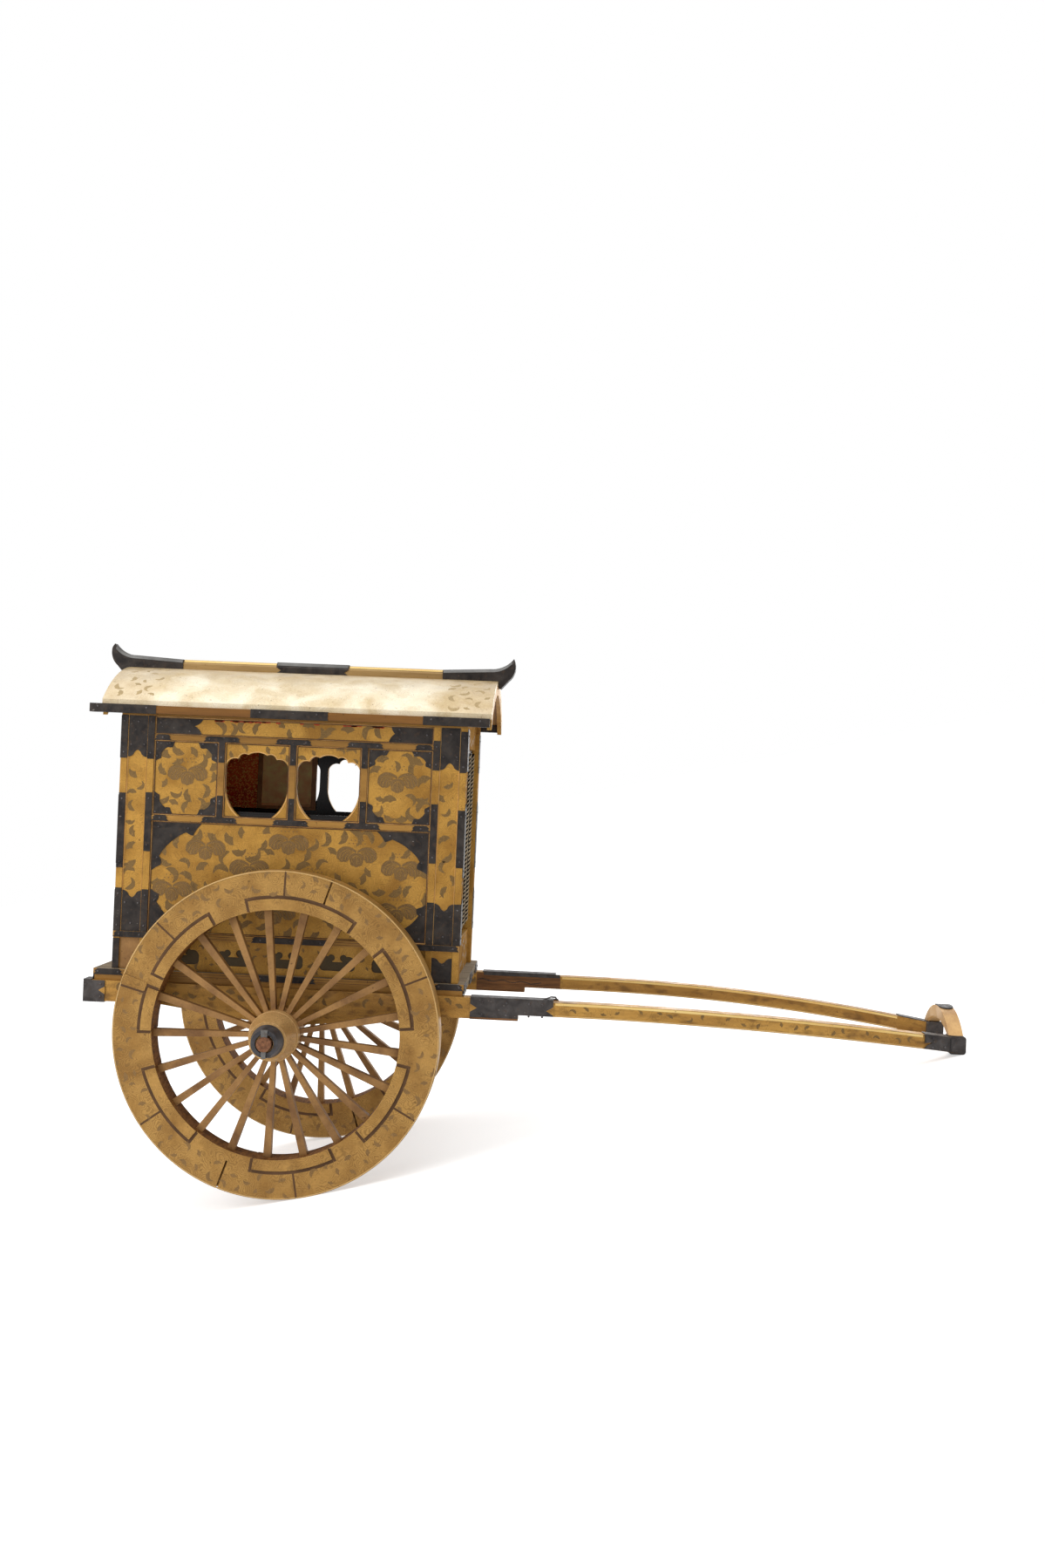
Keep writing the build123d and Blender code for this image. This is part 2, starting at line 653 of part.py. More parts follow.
# Crown plate: an iron plate with rounded ends, bent over the crown of the yoke
with BuildPart(BODY) as crown_plate:
    with BuildSketch(yoke_plane):
        with BuildLine():
            plate_foot = knob_top_z + CROWN_PLATE_THICK
            plate_crown = (0, yoke_top_z + CROWN_PLATE_THICK)
            ThreePointArc((-yoke_out, plate_foot), plate_crown, (yoke_out, plate_foot))
            Line((yoke_out, plate_foot), (yoke_out, knob_top_z))
            ThreePointArc((yoke_out, knob_top_z), (0, yoke_top_z), (-yoke_out, knob_top_z))
            Line((-yoke_out, knob_top_z), (-yoke_out, plate_foot))
        make_face()
    extrude(amount=YOKE_DEPTH)
    with BuildSketch(level_plane(0)):
        with Locations((yoke_x, 0)):
            SlotOverall(CROWN_PLATE_WIDTH, YOKE_DEPTH, rotation=90)
    extrude(amount=2 * yoke_top_z, mode=Mode.INTERSECT)
save(crown_plate, "crown_plate")

# Platform: a stepped board on the shafts, and the bearers let in between them
with BuildPart(BODY) as platform:
    platform_x = (platform_rear_x, platform_front_x)
    block(platform_x, (-platform_half, platform_half), (platform_step_z, platform_top_z))
    under_x = (platform_rear_x + PLATFORM_STEP, platform_front_x - PLATFORM_STEP)
    under_half = platform_half - PLATFORM_STEP
    block(under_x, (-under_half, under_half), (shaft_top_z, platform_step_z))
save(platform, "platform")

with BuildPart(BODY) as bearers:
    with BuildSketch(level_plane(shaft_top_z - BEARER_HEIGHT)):
        with Locations(((platform_rear_x + platform_front_x) / 2, 0)):
            with GridLocations(BEARER_SPACING, 1, BEARER_COUNT, 1):
                Rectangle(BEARER_WIDTH, 2 * shaft_in)
    extrude(amount=BEARER_HEIGHT)
save(bearers, "bearers")

# Corner posts: each has a sunk gilt panel between two mouldings, above and below the sill
with BuildPart(BODY) as corner_posts:
    for side, span in both_sides((post_in, cabin_half)):
        sunk = (side * (cabin_half - POST_PANEL_SINK), side * (cabin_half + POST_PANEL_SINK))
        for post_x in (CABIN_REAR_X, front_post_x):
            panel_x = (post_x + POST_MOULDING, post_x + POST_WIDTH - POST_MOULDING)
            block((post_x, post_x + POST_WIDTH), span, (platform_top_z, post_top_z))
            for panel_z in ((platform_top_z, sill_z), (sill_top_z, post_top_z)):
                block(panel_x, sunk, panel_z, Mode.SUBTRACT)
save(corner_posts, "corner_posts")


# Side walls: a lattice of rails and battens with panels let in between its members
def window_outline(centre_x):
    """Cusped window: a bowl-shaped foot, straight sides and a top of five lobes."""
    cusps = [*WINDOW_CUSPS, (0.0, WINDOW_HEIGHT)]
    for hand in (-1, 1):
        points = [(centre_x + hand * x, waist_top_z + z) for x, z in cusps]
        foot = (centre_x + hand * WINDOW_FOOT_HALF, waist_top_z)
        turn = (points[0][0], waist_top_z + WINDOW_FOOT_RISE)
        Line((centre_x, waist_top_z), foot)
        TangentArc(turn, foot, tangent=(0, -1))
        Line(turn, points[0])
        for start, end in zip(points[:-2], points[1:-1]):
            reach = hypot(end[0] - start[0], end[1] - start[1])
            RadiusArc(start, end, -hand * reach * WINDOW_LOBE_ROUND)
    inner_x, inner_z = cusps[-2]
    crown = [(centre_x - inner_x, waist_top_z + inner_z), (centre_x + inner_x, waist_top_z + inner_z)]
    ThreePointArc(crown[0], (centre_x, waist_top_z + WINDOW_HEIGHT), crown[1])


bay = SIDE_BAY_WIDTH
window_bay = (front_post_x - rear_post_x - 2 * bay - 3 * BATTEN_WIDTH) / 2
bay_starts = [
    rear_post_x,
    rear_post_x + bay + BATTEN_WIDTH,
    rear_post_x + bay + window_bay + 2 * BATTEN_WIDTH,
    front_post_x - bay,
]
side_bays = [(start, start + bay) for start in (bay_starts[0], bay_starts[3])]
window_bays = [(start, start + window_bay) for start in bay_starts[1:3]]
wall_x = (rear_post_x, front_post_x)
for side, name in SIDES:
    lattice_y = (side * wall_in, side * cabin_half)
    proud_y = (side * cabin_half, side * (cabin_half + SILL_PROUD))
    with BuildPart(BODY) as side_frame:
        block(wall_x, lattice_y, (sill_z, sill_top_z))
        block(wall_x, lattice_y, (waist_z, waist_top_z))
        block(wall_x, lattice_y, (head_z, head_top_z))
        for start in bay_starts[1:]:
            block((start - BATTEN_WIDTH, start), lattice_y, (waist_top_z, head_z))
        block((CABIN_REAR_X, cabin_front_x), proud_y, (sill_z, sill_top_z))
    save(side_frame, f"side_frame_{name}")

    # Window panels: a pair of thin boards, each pierced by a cusped window
    with BuildPart(BODY) as window_panels:
        for span in window_bays:
            block(span, (side * wall_in, side * wall_out), (waist_top_z, head_z))
            with BuildSketch(side_plane(0)):
                with BuildLine():
                    window_outline((span[0] + span[1]) / 2)
                make_face()
            extrude(amount=-side * 2 * cabin_half, mode=Mode.SUBTRACT)
    save(window_panels, f"window_panels_{name}")

wall_spans = both_sides((wall_in, wall_out))
with BuildPart(BODY) as lower_panels:
    for side, span in wall_spans:
        block(wall_x, span, (sill_top_z, waist_z))
save(lower_panels, "lower_panels")

with BuildPart(BODY) as upper_panels:
    for side, span in wall_spans:
        for bay_x in side_bays:
            block(bay_x, span, (waist_top_z, head_z))
save(upper_panels, "upper_panels")

with BuildPart(BODY) as friezes:
    for side, span in wall_spans:
        block(wall_x, span, (head_top_z, post_top_z))
save(friezes, "friezes")

# Skirts: boards under the sills with sunk clouds, each a flat base with two lobes and two curls
cloud_z = platform_top_z + CLOUD_RISE
with BuildPart(BODY) as skirts:
    for side, span in both_sides((skirt_in, skirt_out)):
        block(wall_x, span, (platform_top_z, sill_z))
        with BuildSketch(side_plane(side * (skirt_out - CLOUD_DEPTH))):
            with Locations((cabin_mid_x, cloud_z)):
                with GridLocations(CLOUD_SPACING, 1, CLOUD_COUNT, 1):
                    with Locations((0, CLOUD_BASE / 2)):
                        SlotOverall(CLOUD_WIDTH, CLOUD_BASE)
                    with Locations((0, CLOUD_LOBE_Z)):
                        with GridLocations(CLOUD_WIDTH - 2 * CLOUD_LOBE_R, 1, 2, 1):
                            Circle(CLOUD_LOBE_R)
                    with Locations((0, CLOUD_CURL_Z)):
                        with GridLocations(2 * CLOUD_CURL_Y, 1, 2, 1):
                            Circle(CLOUD_CURL_R)
        extrude(amount=-side * 2 * CLOUD_DEPTH, mode=Mode.SUBTRACT)
save(skirts, "skirts")

# Cabin floor: a board between the skirts that runs on between the posts to the end sills
end_sill_x = [
    (CABIN_REAR_X + LINTEL_SINK, CABIN_REAR_X + LINTEL_SINK + END_SILL_THICK),
    (cabin_front_x - LINTEL_SINK - END_SILL_THICK, cabin_front_x - LINTEL_SINK),
]
with BuildPart(BODY) as cabin_floor:
    floor_z = (platform_top_z, platform_top_z + CABIN_FLOOR_THICK)
    block(wall_x, (-skirt_in, skirt_in), floor_z)
    block((end_sill_x[0][1], end_sill_x[1][0]), (-post_in, post_in), floor_z)
save(cabin_floor, "cabin_floor")

# Sliding shutters: a framed board in a grooved pair of rails inside each side wall
shutter_out = wall_in - SHUTTER_CLEARANCE
shutter_in = shutter_out - SHUTTER_THICK
shutter_base = waist_top_z + SHUTTER_LIFT
shutter_top = shutter_base + SHUTTER_HEIGHT
lip_out = shutter_in - SHUTTER_CLEARANCE
rail_in = lip_out - SHUTTER_RAIL_LIP
low = shutter_base - SHUTTER_CLEARANCE
high = shutter_top + SHUTTER_CLEARANCE
with BuildPart(BODY) as shutter_rails:
    for side in (-1, 1):
        rail_y = (side * rail_in, side * wall_in)
        lip_y = (side * rail_in, side * lip_out)
        block(wall_x, rail_y, (low - SHUTTER_RAIL_HEIGHT, low))
        block(wall_x, lip_y, (low, low + SHUTTER_RAIL_GROOVE))
        block(wall_x, rail_y, (high, high + SHUTTER_RAIL_HEIGHT))
        block(wall_x, lip_y, (high - SHUTTER_RAIL_GROOVE, high))
save(shutter_rails, "shutter_rails")

for side, name, middle in ((-1, "right", SHUTTER_RIGHT_X), (1, "left", SHUTTER_LEFT_X)):
    with BuildPart(BODY) as shutter:
        shutter_x = (middle - SHUTTER_WIDTH / 2, middle + SHUTTER_WIDTH / 2)
        shutter_y = (side * shutter_in, side * shutter_out)
        block(shutter_x, shutter_y, (shutter_base, shutter_top))
        inset_x = (shutter_x[0] + SHUTTER_FRAME, shutter_x[1] - SHUTTER_FRAME)
        inset_z = (shutter_base + SHUTTER_FRAME, shutter_top - SHUTTER_FRAME)
        for face in shutter_y:
            inset_y = (face - SHUTTER_PANEL_SINK, face + SHUTTER_PANEL_SINK)
            block(inset_x, inset_y, inset_z, Mode.SUBTRACT)
    save(shutter, f"shutter_{name}")

# Roof skin: a bowed sheet whose left edge has settled a little higher than its right
edge_right = roof_edge_z
edge_left = roof_edge_z + ROOF_SKEW
foot_half = roof_half - ROOF_FOOT
under_right = (-foot_half, edge_right - ROOF_EDGE)
under_left = (foot_half, edge_left - ROOF_EDGE)
under_crown = (0, roof_top_z - ROOF_THICK)
with BuildPart() as roof:
    with BuildSketch(end_plane(roof_rear_x)):
        with BuildLine():
            ThreePointArc((-roof_half, edge_right), (0, roof_top_z), (roof_half, edge_left))
            Polyline((roof_half, edge_left), (roof_half, edge_left - ROOF_EDGE), under_left)
            ThreePointArc(under_left, under_crown, under_right)
            Polyline(under_right, (-roof_half, edge_right - ROOF_EDGE), (-roof_half, edge_right))
        make_face()
    extrude(amount=roof_front_x - roof_rear_x)
save(roof, "roof")

# The space under the skin, to which gables, plates and bargeboards are cut
with BuildPart() as under_roof:
    with BuildSketch(end_plane(roof_rear_x)):
        with BuildLine():
            ThreePointArc(under_left, under_crown, under_right)
            Polyline(under_right, (-foot_half, sill_z), (foot_half, sill_z), under_left)
        make_face()
    extrude(amount=roof_front_x - roof_rear_x)

# Eave boards: long sticks under the lower edges of the skin, longer than it at the rear
eave_x = (roof_rear_x - EAVE_REAR, roof_front_x - EAVE_FRONT_SETBACK)
eave_out = roof_half + EAVE_OVERHANG
with BuildPart(BODY) as eave_boards:
    for (side, span), top in zip(both_sides((eave_out - EAVE_WIDTH, eave_out)), (edge_right, edge_left)):
        block(eave_x, span, (top - ROOF_EDGE - EAVE_HEIGHT, top - ROOF_EDGE))
save(eave_boards, "eave_boards")

# Bargeboards: bowed boards that close the two ends of the skin from below
with BuildPart() as bargeboards:
    for x in (roof_rear_x, roof_front_x - BARGE_THICK):
        with BuildSketch(end_plane(x)):
            with Locations((0, roof_top_z)):
                Rectangle(2 * roof_half, roof_top_z)
        extrude(amount=BARGE_THICK)
    add(under_roof.part, mode=Mode.INTERSECT)
    add(under_roof.part.moved(Location(UP * -BARGE_HEIGHT)), mode=Mode.SUBTRACT)
save(bargeboards, "bargeboards")

# Wall plates and gables: what carries the roof, cut to its underside
with BuildPart(BODY) as plate_blocks:
    for side, span in both_sides((cabin_half - PLATE_WIDTH, cabin_half)):
        block((CABIN_REAR_X, cabin_front_x), span, (post_top_z, post_top_z + PLATE_HEIGHT))
with BuildPart() as wall_plates:
    add(plate_blocks.part)
    add(under_roof.part, mode=Mode.INTERSECT)
save(wall_plates, "wall_plates")

gable_half = cabin_half - PLATE_WIDTH
with BuildPart(BODY) as gable_blocks:
    for x in (CABIN_REAR_X + LINTEL_SINK, cabin_front_x - LINTEL_SINK - GABLE_THICK):
        block((x, x + GABLE_THICK), (-gable_half, gable_half), (post_top_z, roof_top_z))
with BuildPart() as gables:
    add(gable_blocks.part)
    add(under_roof.part, mode=Mode.INTERSECT)
save(gables, "gables")

# Ridge: a bevelled beam between two upturned iron horns, with an iron cap at its middle
ridge_mid_x = (roof_rear_x + roof_front_x) / 2 - RIDGE_SHIFT
horn_reach = (roof_front_x - roof_rear_x) / 2 + HORN_OVERHANG
ridge_base_z = roof_top_z - RIDGE_SEAT
ridge_top_z = roof_top_z + RIDGE_HEIGHT
beam_half = horn_reach - HORN_LENGTH


def ridge_section(grow):
    """Section of the ridge beam, or of what fits over it."""
    half = RIDGE_WIDTH / 2 + grow
    bevel_z = ridge_top_z - RIDGE_BEVEL
    Polyline(
        (-half, ridge_base_z),
        (-half, bevel_z),
        (-half + RIDGE_BEVEL, ridge_top_z + grow),
        (half - RIDGE_BEVEL, ridge_top_z + grow),
        (half, bevel_z),
        (half, ridge_base_z),
        close=True,
    )


with BuildPart() as ridge_beam:
    with BuildSketch(end_plane(ridge_mid_x - beam_half)):
        with BuildLine():
            ridge_section(0)
        make_face()
    extrude(amount=2 * beam_half)
    add(roof.part, mode=Mode.SUBTRACT)
save(ridge_beam, "ridge_beam")

# The cap's two sides end in a notch
with BuildPart() as ridge_mid_cap:
    with BuildSketch(end_plane(ridge_mid_x - RIDGE_CAP_LENGTH / 2)):
        with BuildLine():
            ridge_section(RIDGE_CAP_THICK)
        make_face()
    extrude(amount=RIDGE_CAP_LENGTH)
    with BuildSketch(side_plane(0)):
        for hand in (-1, 1):
            cap_end = ridge_mid_x + hand * RIDGE_CAP_LENGTH / 2
            notch_z = (ridge_base_z + ridge_top_z - RIDGE_BEVEL) / 2
            with BuildLine():
                Polyline(
                    (cap_end, ridge_base_z),
                    (cap_end, ridge_top_z - RIDGE_BEVEL),
                    (cap_end - hand * RIDGE_CAP_NOTCH, notch_z),
                    close=True,
                )
            make_face()
    extrude(amount=RIDGE_WIDTH, both=True, mode=Mode.SUBTRACT)
    add(ridge_beam.part, mode=Mode.SUBTRACT)
    add(roof.part, mode=Mode.SUBTRACT)
save(ridge_mid_cap, "ridge_mid_cap")

with BuildPart() as ridge_horns:
    for hand, roof_end in ((-1, roof_rear_x), (1, roof_front_x)):
        brow_x = ridge_mid_x + hand * horn_reach
        tip, hollow, shoulder, chin, lobe = [
            (brow_x - hand * back, roof_top_z + rise)
            for back, rise in (HORN_TIP, HORN_HOLLOW, HORN_SHOULDER, HORN_CHIN, HORN_LOBE)
        ]
        root_x = ridge_mid_x + hand * beam_half
        with BuildPart() as horn:
            with BuildSketch(side_plane(0)):
                with BuildLine():
                    heel = (roof_end, roof_top_z - HORN_HEEL_DROP)
                    Polyline((root_x, ridge_base_z), (roof_end, ridge_base_z), heel, lobe, chin)
                    ThreePointArc(chin, (brow_x, roof_top_z + HORN_BROW_RISE), tip)
                    ThreePointArc(tip, hollow, shoulder)
                    Polyline(shoulder, (root_x, ridge_top_z), (root_x, ridge_base_z))
                make_face()
            extrude(amount=HORN_WIDTH / 2, both=True)
            outer_faces = horn.faces().filter_by(Plane(origin=(0, 0, 0), z_dir=LEFT))
            top_edges = [
                edge
                for edge in outer_faces.edges()
                if all(
                    end_plane(0).to_local_coords(vertex.center()).Y > ridge_top_z - RIDGE_SEAT
                    for vertex in edge.vertices()
                )
                and side_plane(0).to_local_coords(edge.center()).X * hand < (tip[0] - hand) * hand
            ]
            chamfer(top_edges, HORN_BEVEL, HORN_BEVEL_DROP)
        add(horn.part)
    add(roof.part, mode=Mode.SUBTRACT)
save(ridge_horns, "ridge_horns")

# Ends of the cabin: a lintel, a hanging blind of fine slats and a sill board at each end
with BuildPart(BODY) as lintels:
    for x in (CABIN_REAR_X + LINTEL_SINK, cabin_front_x - LINTEL_SINK - LINTEL_THICK):
        block((x, x + LINTEL_THICK), (-post_in, post_in), (head_top_z, post_top_z))
save(lintels, "lintels")

with BuildPart(BODY) as end_sills:
    for span in end_sill_x:
        block(span, (-post_in, post_in), (platform_top_z, sill_top_z))
save(end_sills, "end_sills")

slat_count = int((head_top_z - sill_top_z) / BLIND_SLAT) - 1
for hand, name in ENDS:
    face_x = CABIN_REAR_X + BLIND_SINK if hand < 0 else cabin_front_x - BLIND_SINK
    back_x = face_x - hand * BLIND_THICK
    foot_z = head_top_z - slat_count * BLIND_SLAT
    with BuildPart(BODY) as blind:
        with BuildSketch(side_plane(0)):
            with BuildLine():
                slats = []
                for count in range(slat_count):
                    slat_top = head_top_z - count * BLIND_SLAT
                    slats.append((face_x, slat_top))
                    slats.append((face_x + hand * BLIND_SLAT_RISE, slat_top - BLIND_SLAT / 2))
                Polyline(*slats, (face_x, foot_z), (back_x, foot_z), (back_x, head_top_z), close=True)
            make_face()
        extrude(amount=post_in - BLIND_MARGIN, both=True)
    save(blind, f"blind_{name}")
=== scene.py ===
"""Looks of the display model of an ox-drawn court carriage: gold lacquer with crests and curled
leaves, blackened iron mounts with cusped edges, a speckled interior and the studio."""

import json
import math
import random

import bmesh
import bpy
from mathutils import Matrix, Vector, bvhtree, geometry


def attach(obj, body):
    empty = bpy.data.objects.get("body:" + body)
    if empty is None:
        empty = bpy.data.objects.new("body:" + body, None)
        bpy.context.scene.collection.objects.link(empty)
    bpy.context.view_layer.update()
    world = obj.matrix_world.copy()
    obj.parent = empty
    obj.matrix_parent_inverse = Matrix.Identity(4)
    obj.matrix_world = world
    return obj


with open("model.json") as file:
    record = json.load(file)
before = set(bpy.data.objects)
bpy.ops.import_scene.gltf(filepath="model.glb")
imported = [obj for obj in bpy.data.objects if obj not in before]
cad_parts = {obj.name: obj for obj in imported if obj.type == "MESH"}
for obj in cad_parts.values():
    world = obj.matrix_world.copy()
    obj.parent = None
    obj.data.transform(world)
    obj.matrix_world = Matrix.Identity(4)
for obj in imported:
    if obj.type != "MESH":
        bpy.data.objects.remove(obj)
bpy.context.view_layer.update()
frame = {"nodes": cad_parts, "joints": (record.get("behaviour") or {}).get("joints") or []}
nodes = frame["nodes"]

# The carriage's own frame, in millimetres: X forward along the shafts, Y left, Z up from the
# tread of the wheels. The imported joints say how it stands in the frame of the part.
MM = 0.001
slide = next(j for j in frame["joints"] if j["type"] == "slide")
spin = next(j for j in frame["joints"] if j["type"] == "hinge")
FORWARD = Vector(slide["axis"]).normalized()
LEFT = Vector((0, 1, 0))
UP = FORWARD.cross(LEFT)
AXLE = Vector((0, 0, spin["pos_m"][2]))
WHEEL_R = AXLE.z / MM
PARK_PITCH = math.atan2(-FORWARD.z, FORWARD.x)
BODY_TURN = Matrix((FORWARD, LEFT, UP)).transposed().to_4x4()
BODY = Matrix.Translation(AXLE) @ BODY_TURN @ Matrix.Scale(MM, 4) @ Matrix.Translation((0, 0, -WHEEL_R))
BODY_BACK = BODY.inverted()
SIDES = ((-1, "right"), (1, "left"))


def span(node, keep=lambda point: True):
    """Lowest and highest corner of a node, or of a part of it, in the carriage's frame."""
    found = [BODY_BACK @ vertex.co for vertex in nodes[node].data.vertices]
    found = [point for point in found if keep(point)]
    low = Vector([min(point[i] for point in found) for i in range(3)])
    high = Vector([max(point[i] for point in found) for i in range(3)])
    return low, high


# Sizes of the cabin, read from the frame
lower_low, lower_high = span("lower_panels")
upper_low, upper_high = span("upper_panels")
post_low, post_high = span("corner_posts")
skirt_low, skirt_high = span("skirts")
frieze_low, frieze_high = span("friezes")
platform_low, platform_high = span("platform")
sleeve_low, sleeve_high = span("shaft_sleeves")
rear_bay = span("upper_panels", lambda p: p.x < 0)
front_bay = span("upper_panels", lambda p: p.x > 0)
rear_window = span("window_panels_left", lambda p: p.x < 0)
front_window = span("window_panels_left", lambda p: p.x > 0.6)
REAR_X, FRONT_X = lower_low.x, lower_high.x
REAR_END, FRONT_END = post_low.x, post_high.x
FLOOR_Z, SILL_Z, SILL_TOP = skirt_low.z, skirt_high.z, lower_low.z
WAIST_Z, WAIST_TOP = lower_high.z, upper_low.z
HEAD_Z, HEAD_TOP, FRIEZE_TOP = upper_high.z, frieze_low.z, frieze_high.z
PANEL_Y, SKIRT_Y, LATTICE_Y = lower_high.y, skirt_high.y, post_high.y
SILL_Y = span("side_frame_left")[1].y
POST_SUNK_Y = LATTICE_Y - 0.8
MOULDING = 5.0
REAR_POST = (REAR_END + MOULDING, REAR_X - MOULDING)
FRONT_POST = (FRONT_X + MOULDING, FRONT_END - MOULDING)
BAYS = (rear_bay, rear_window, front_window, front_bay)
BATTENS = [((a[1].x + b[0].x) / 2, (b[0].x - a[1].x) / 2) for a, b in zip(BAYS, BAYS[1:])]

# Sides of the rims and of the shafts, from the middle of the carriage
RIM_R = 121.0
RIM_FACE_Y, RIM_BACK_Y = 102.5, 85.5
SHAFT_OUT_Y, SHAFT_IN_Y = 79.5, 68.5

# Thin trim starts a little inside its surface, and mounts and nail heads stand on theirs
SUNK = -0.05
MOUNT = 0.45
NAIL_R, NAIL_RISE, NAIL_SIDES = 0.85, 0.55, 8


# Outlines, as lists of points in a plane
def trace(start, *legs, steps=5):
    """Points from start along legs, each an end and how far its arc bulges to the left."""
    points = [start]
    for end, bulge in legs:
        x, y = points[-1]
        dx, dy = end[0] - x, end[1] - y
        count = steps if bulge else 1
        for i in range(1, count + 1):
            t = i / count
            k = 4 * bulge * t * (1 - t)
            points.append((x + dx * t - dy * k, y + dy * t + dx * k))
    return points


def moved(outline, at, scale=(1, 1), turn=0.0):
    """The outline scaled, turned and put at a place."""
    c, s = math.cos(turn), math.sin(turn)
    found = []
    for u, v in outline:
        u, v = u * scale[0], v * scale[1]
        found.append((at[0] + u * c - v * s, at[1] + u * s + v * c))
    return found


def rectangle(u, v):
    """Outline between two values each way."""
    return [(u[0], v[0]), (u[1], v[0]), (u[1], v[1]), (u[0], v[1])]


# Surfaces: each turns a place in its plane and a height above it into a point of the carriage
def side_face(side, y):
    """Face that looks away from the middle, u forward and v up."""
    return lambda u, v, lift: Vector((u, side * (y + lift), v))


def inner_face(side, y):
    """Face that looks towards the middle, u forward and v up."""
    return lambda u, v, lift: Vector((u, side * (y - lift), v))


def end_face(hand, x):
    """Face that looks forward or back, u to the left and v up."""
    return lambda u, v, lift: Vector((x + hand * lift, u, v))


# Meshes
def skin(bm, rings):
    """Closed piece through rings that have the same number of points."""
    count = len(rings[0])
    for a, b in zip(rings[:-1], rings[1:]):
        for i in range(count):
            j = (i + 1) % count
            bm.faces.new((a[i], a[j], b[j], b[i]))
    bm.faces.new(rings[0])
    bm.faces.new(rings[-1][::-1])


def add_plate(bm, outline, place, lift, thick):
    """Closed flat piece of that outline, between two heights above a surface."""
    flat = [Vector((u, v, 0)) for u, v in outline]
    upper = [bm.verts.new(place(u, v, lift + thick)) for u, v in outline]
    lower = [bm.verts.new(place(u, v, lift)) for u, v in outline]
    for a, b, c in geometry.tessellate_polygon([flat]):
        bm.faces.new((upper[a], upper[b], upper[c]))
        bm.faces.new((lower[c], lower[b], lower[a]))
    count = len(outline)
    for i in range(count):
        j = (i + 1) % count
        bm.faces.new((lower[i], lower[j], upper[j], upper[i]))


def add_nail(bm, place, u, v, lift):
    """Domed nail head."""
    rings = []
    for share, height in ((1.0, 0.0), (0.88, 0.55), (0.5, 0.92)):
        ring = []
        for i in range(NAIL_SIDES):
            angle = 2 * math.pi * i / NAIL_SIDES
            du, dv = NAIL_R * share * math.cos(angle), NAIL_R * share * math.sin(angle)
            ring.append(bm.verts.new(place(u + du, v + dv, lift + NAIL_RISE * height)))
        rings.append(ring)
    skin(bm, rings)


def add_ribbon(bm, points, width, place, lift, thick):
    """Low ridge along a line, with a closed three-sided section."""
    rows = []
    for i, (u, v) in enumerate(points):
        before, after = points[max(i - 1, 0)], points[min(i + 1, len(points) - 1)]
        du, dv = after[0] - before[0], after[1] - before[1]
        length = math.hypot(du, dv) or 1.0
        nu, nv = -dv / length * width / 2, du / length * width / 2
        section = ((u + nu, v + nv, lift), (u, v, lift + thick), (u - nu, v - nv, lift))
        rows.append([bm.verts.new(place(*corner)) for corner in section])
    skin(bm, rows)


def add_band(bm, place, ends, rows, thick, step=6.0):
    """Thin closed strip from one u to another, between two values of v."""
    count = max(2, round((ends[1] - ends[0]) / step))
    corners = ((rows[0], SUNK), (rows[0], thick), (rows[1], thick), (rows[1], SUNK))
    sections = []
    for k in range(count + 1):
        u = ends[0] + (ends[1] - ends[0]) * k / count
        sections.append([bm.verts.new(place(u, v, lift)) for v, lift in corners])
    skin(bm, sections)


def new_meshes(count):
    """That many empty meshes."""
    return [bmesh.new() for _ in range(count)]


def make(name, bm, finish, body="carriage", smooth=False):
    """Puts a mesh made in the carriage's frame into the scene, on its body."""
    bmesh.ops.recalc_face_normals(bm, faces=bm.faces)
    mesh = bpy.data.meshes.new(name)
    bm.to_mesh(mesh)
    bm.free()
    mesh.transform(BODY)
    mesh.materials.append(finish)
    for polygon in mesh.polygons:
        polygon.use_smooth = smooth
    piece = bpy.data.objects.new(name, mesh)
    bpy.context.scene.collection.objects.link(piece)
    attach(piece, body)


# Materials
def srgb(red, green, blue):
    """Linear colour of an 8-bit screen colour."""
    found = []
    for value in (red, green, blue):
        value /= 255
        found.append(value / 12.92 if value <= 0.04045 else ((value + 0.055) / 1.055) ** 2.4)
    return (*found, 1.0)


def scaled(colour, gain, shift=0.0):
    """A linear colour made lighter or darker."""
    return tuple(min(1.0, gain * value + shift) for value in colour[:3]) + (1.0,)


def feed(tree, socket, value):
    """Links an output to a socket, or sets the socket's value."""
    if isinstance(value, bpy.types.NodeSocket):
        tree.links.new(value, socket)
    else:
        socket.default_value = value


def add_node(tree, kind, sockets, **settings):
    """Adds a shader node with those settings, and feeds its sockets."""
    node = tree.nodes.new("ShaderNode" + kind)
    for name, value in settings.items():
        setattr(node, name, value)
    for key, value in sockets.items():
        feed(tree, node.inputs[key], value)
    return node


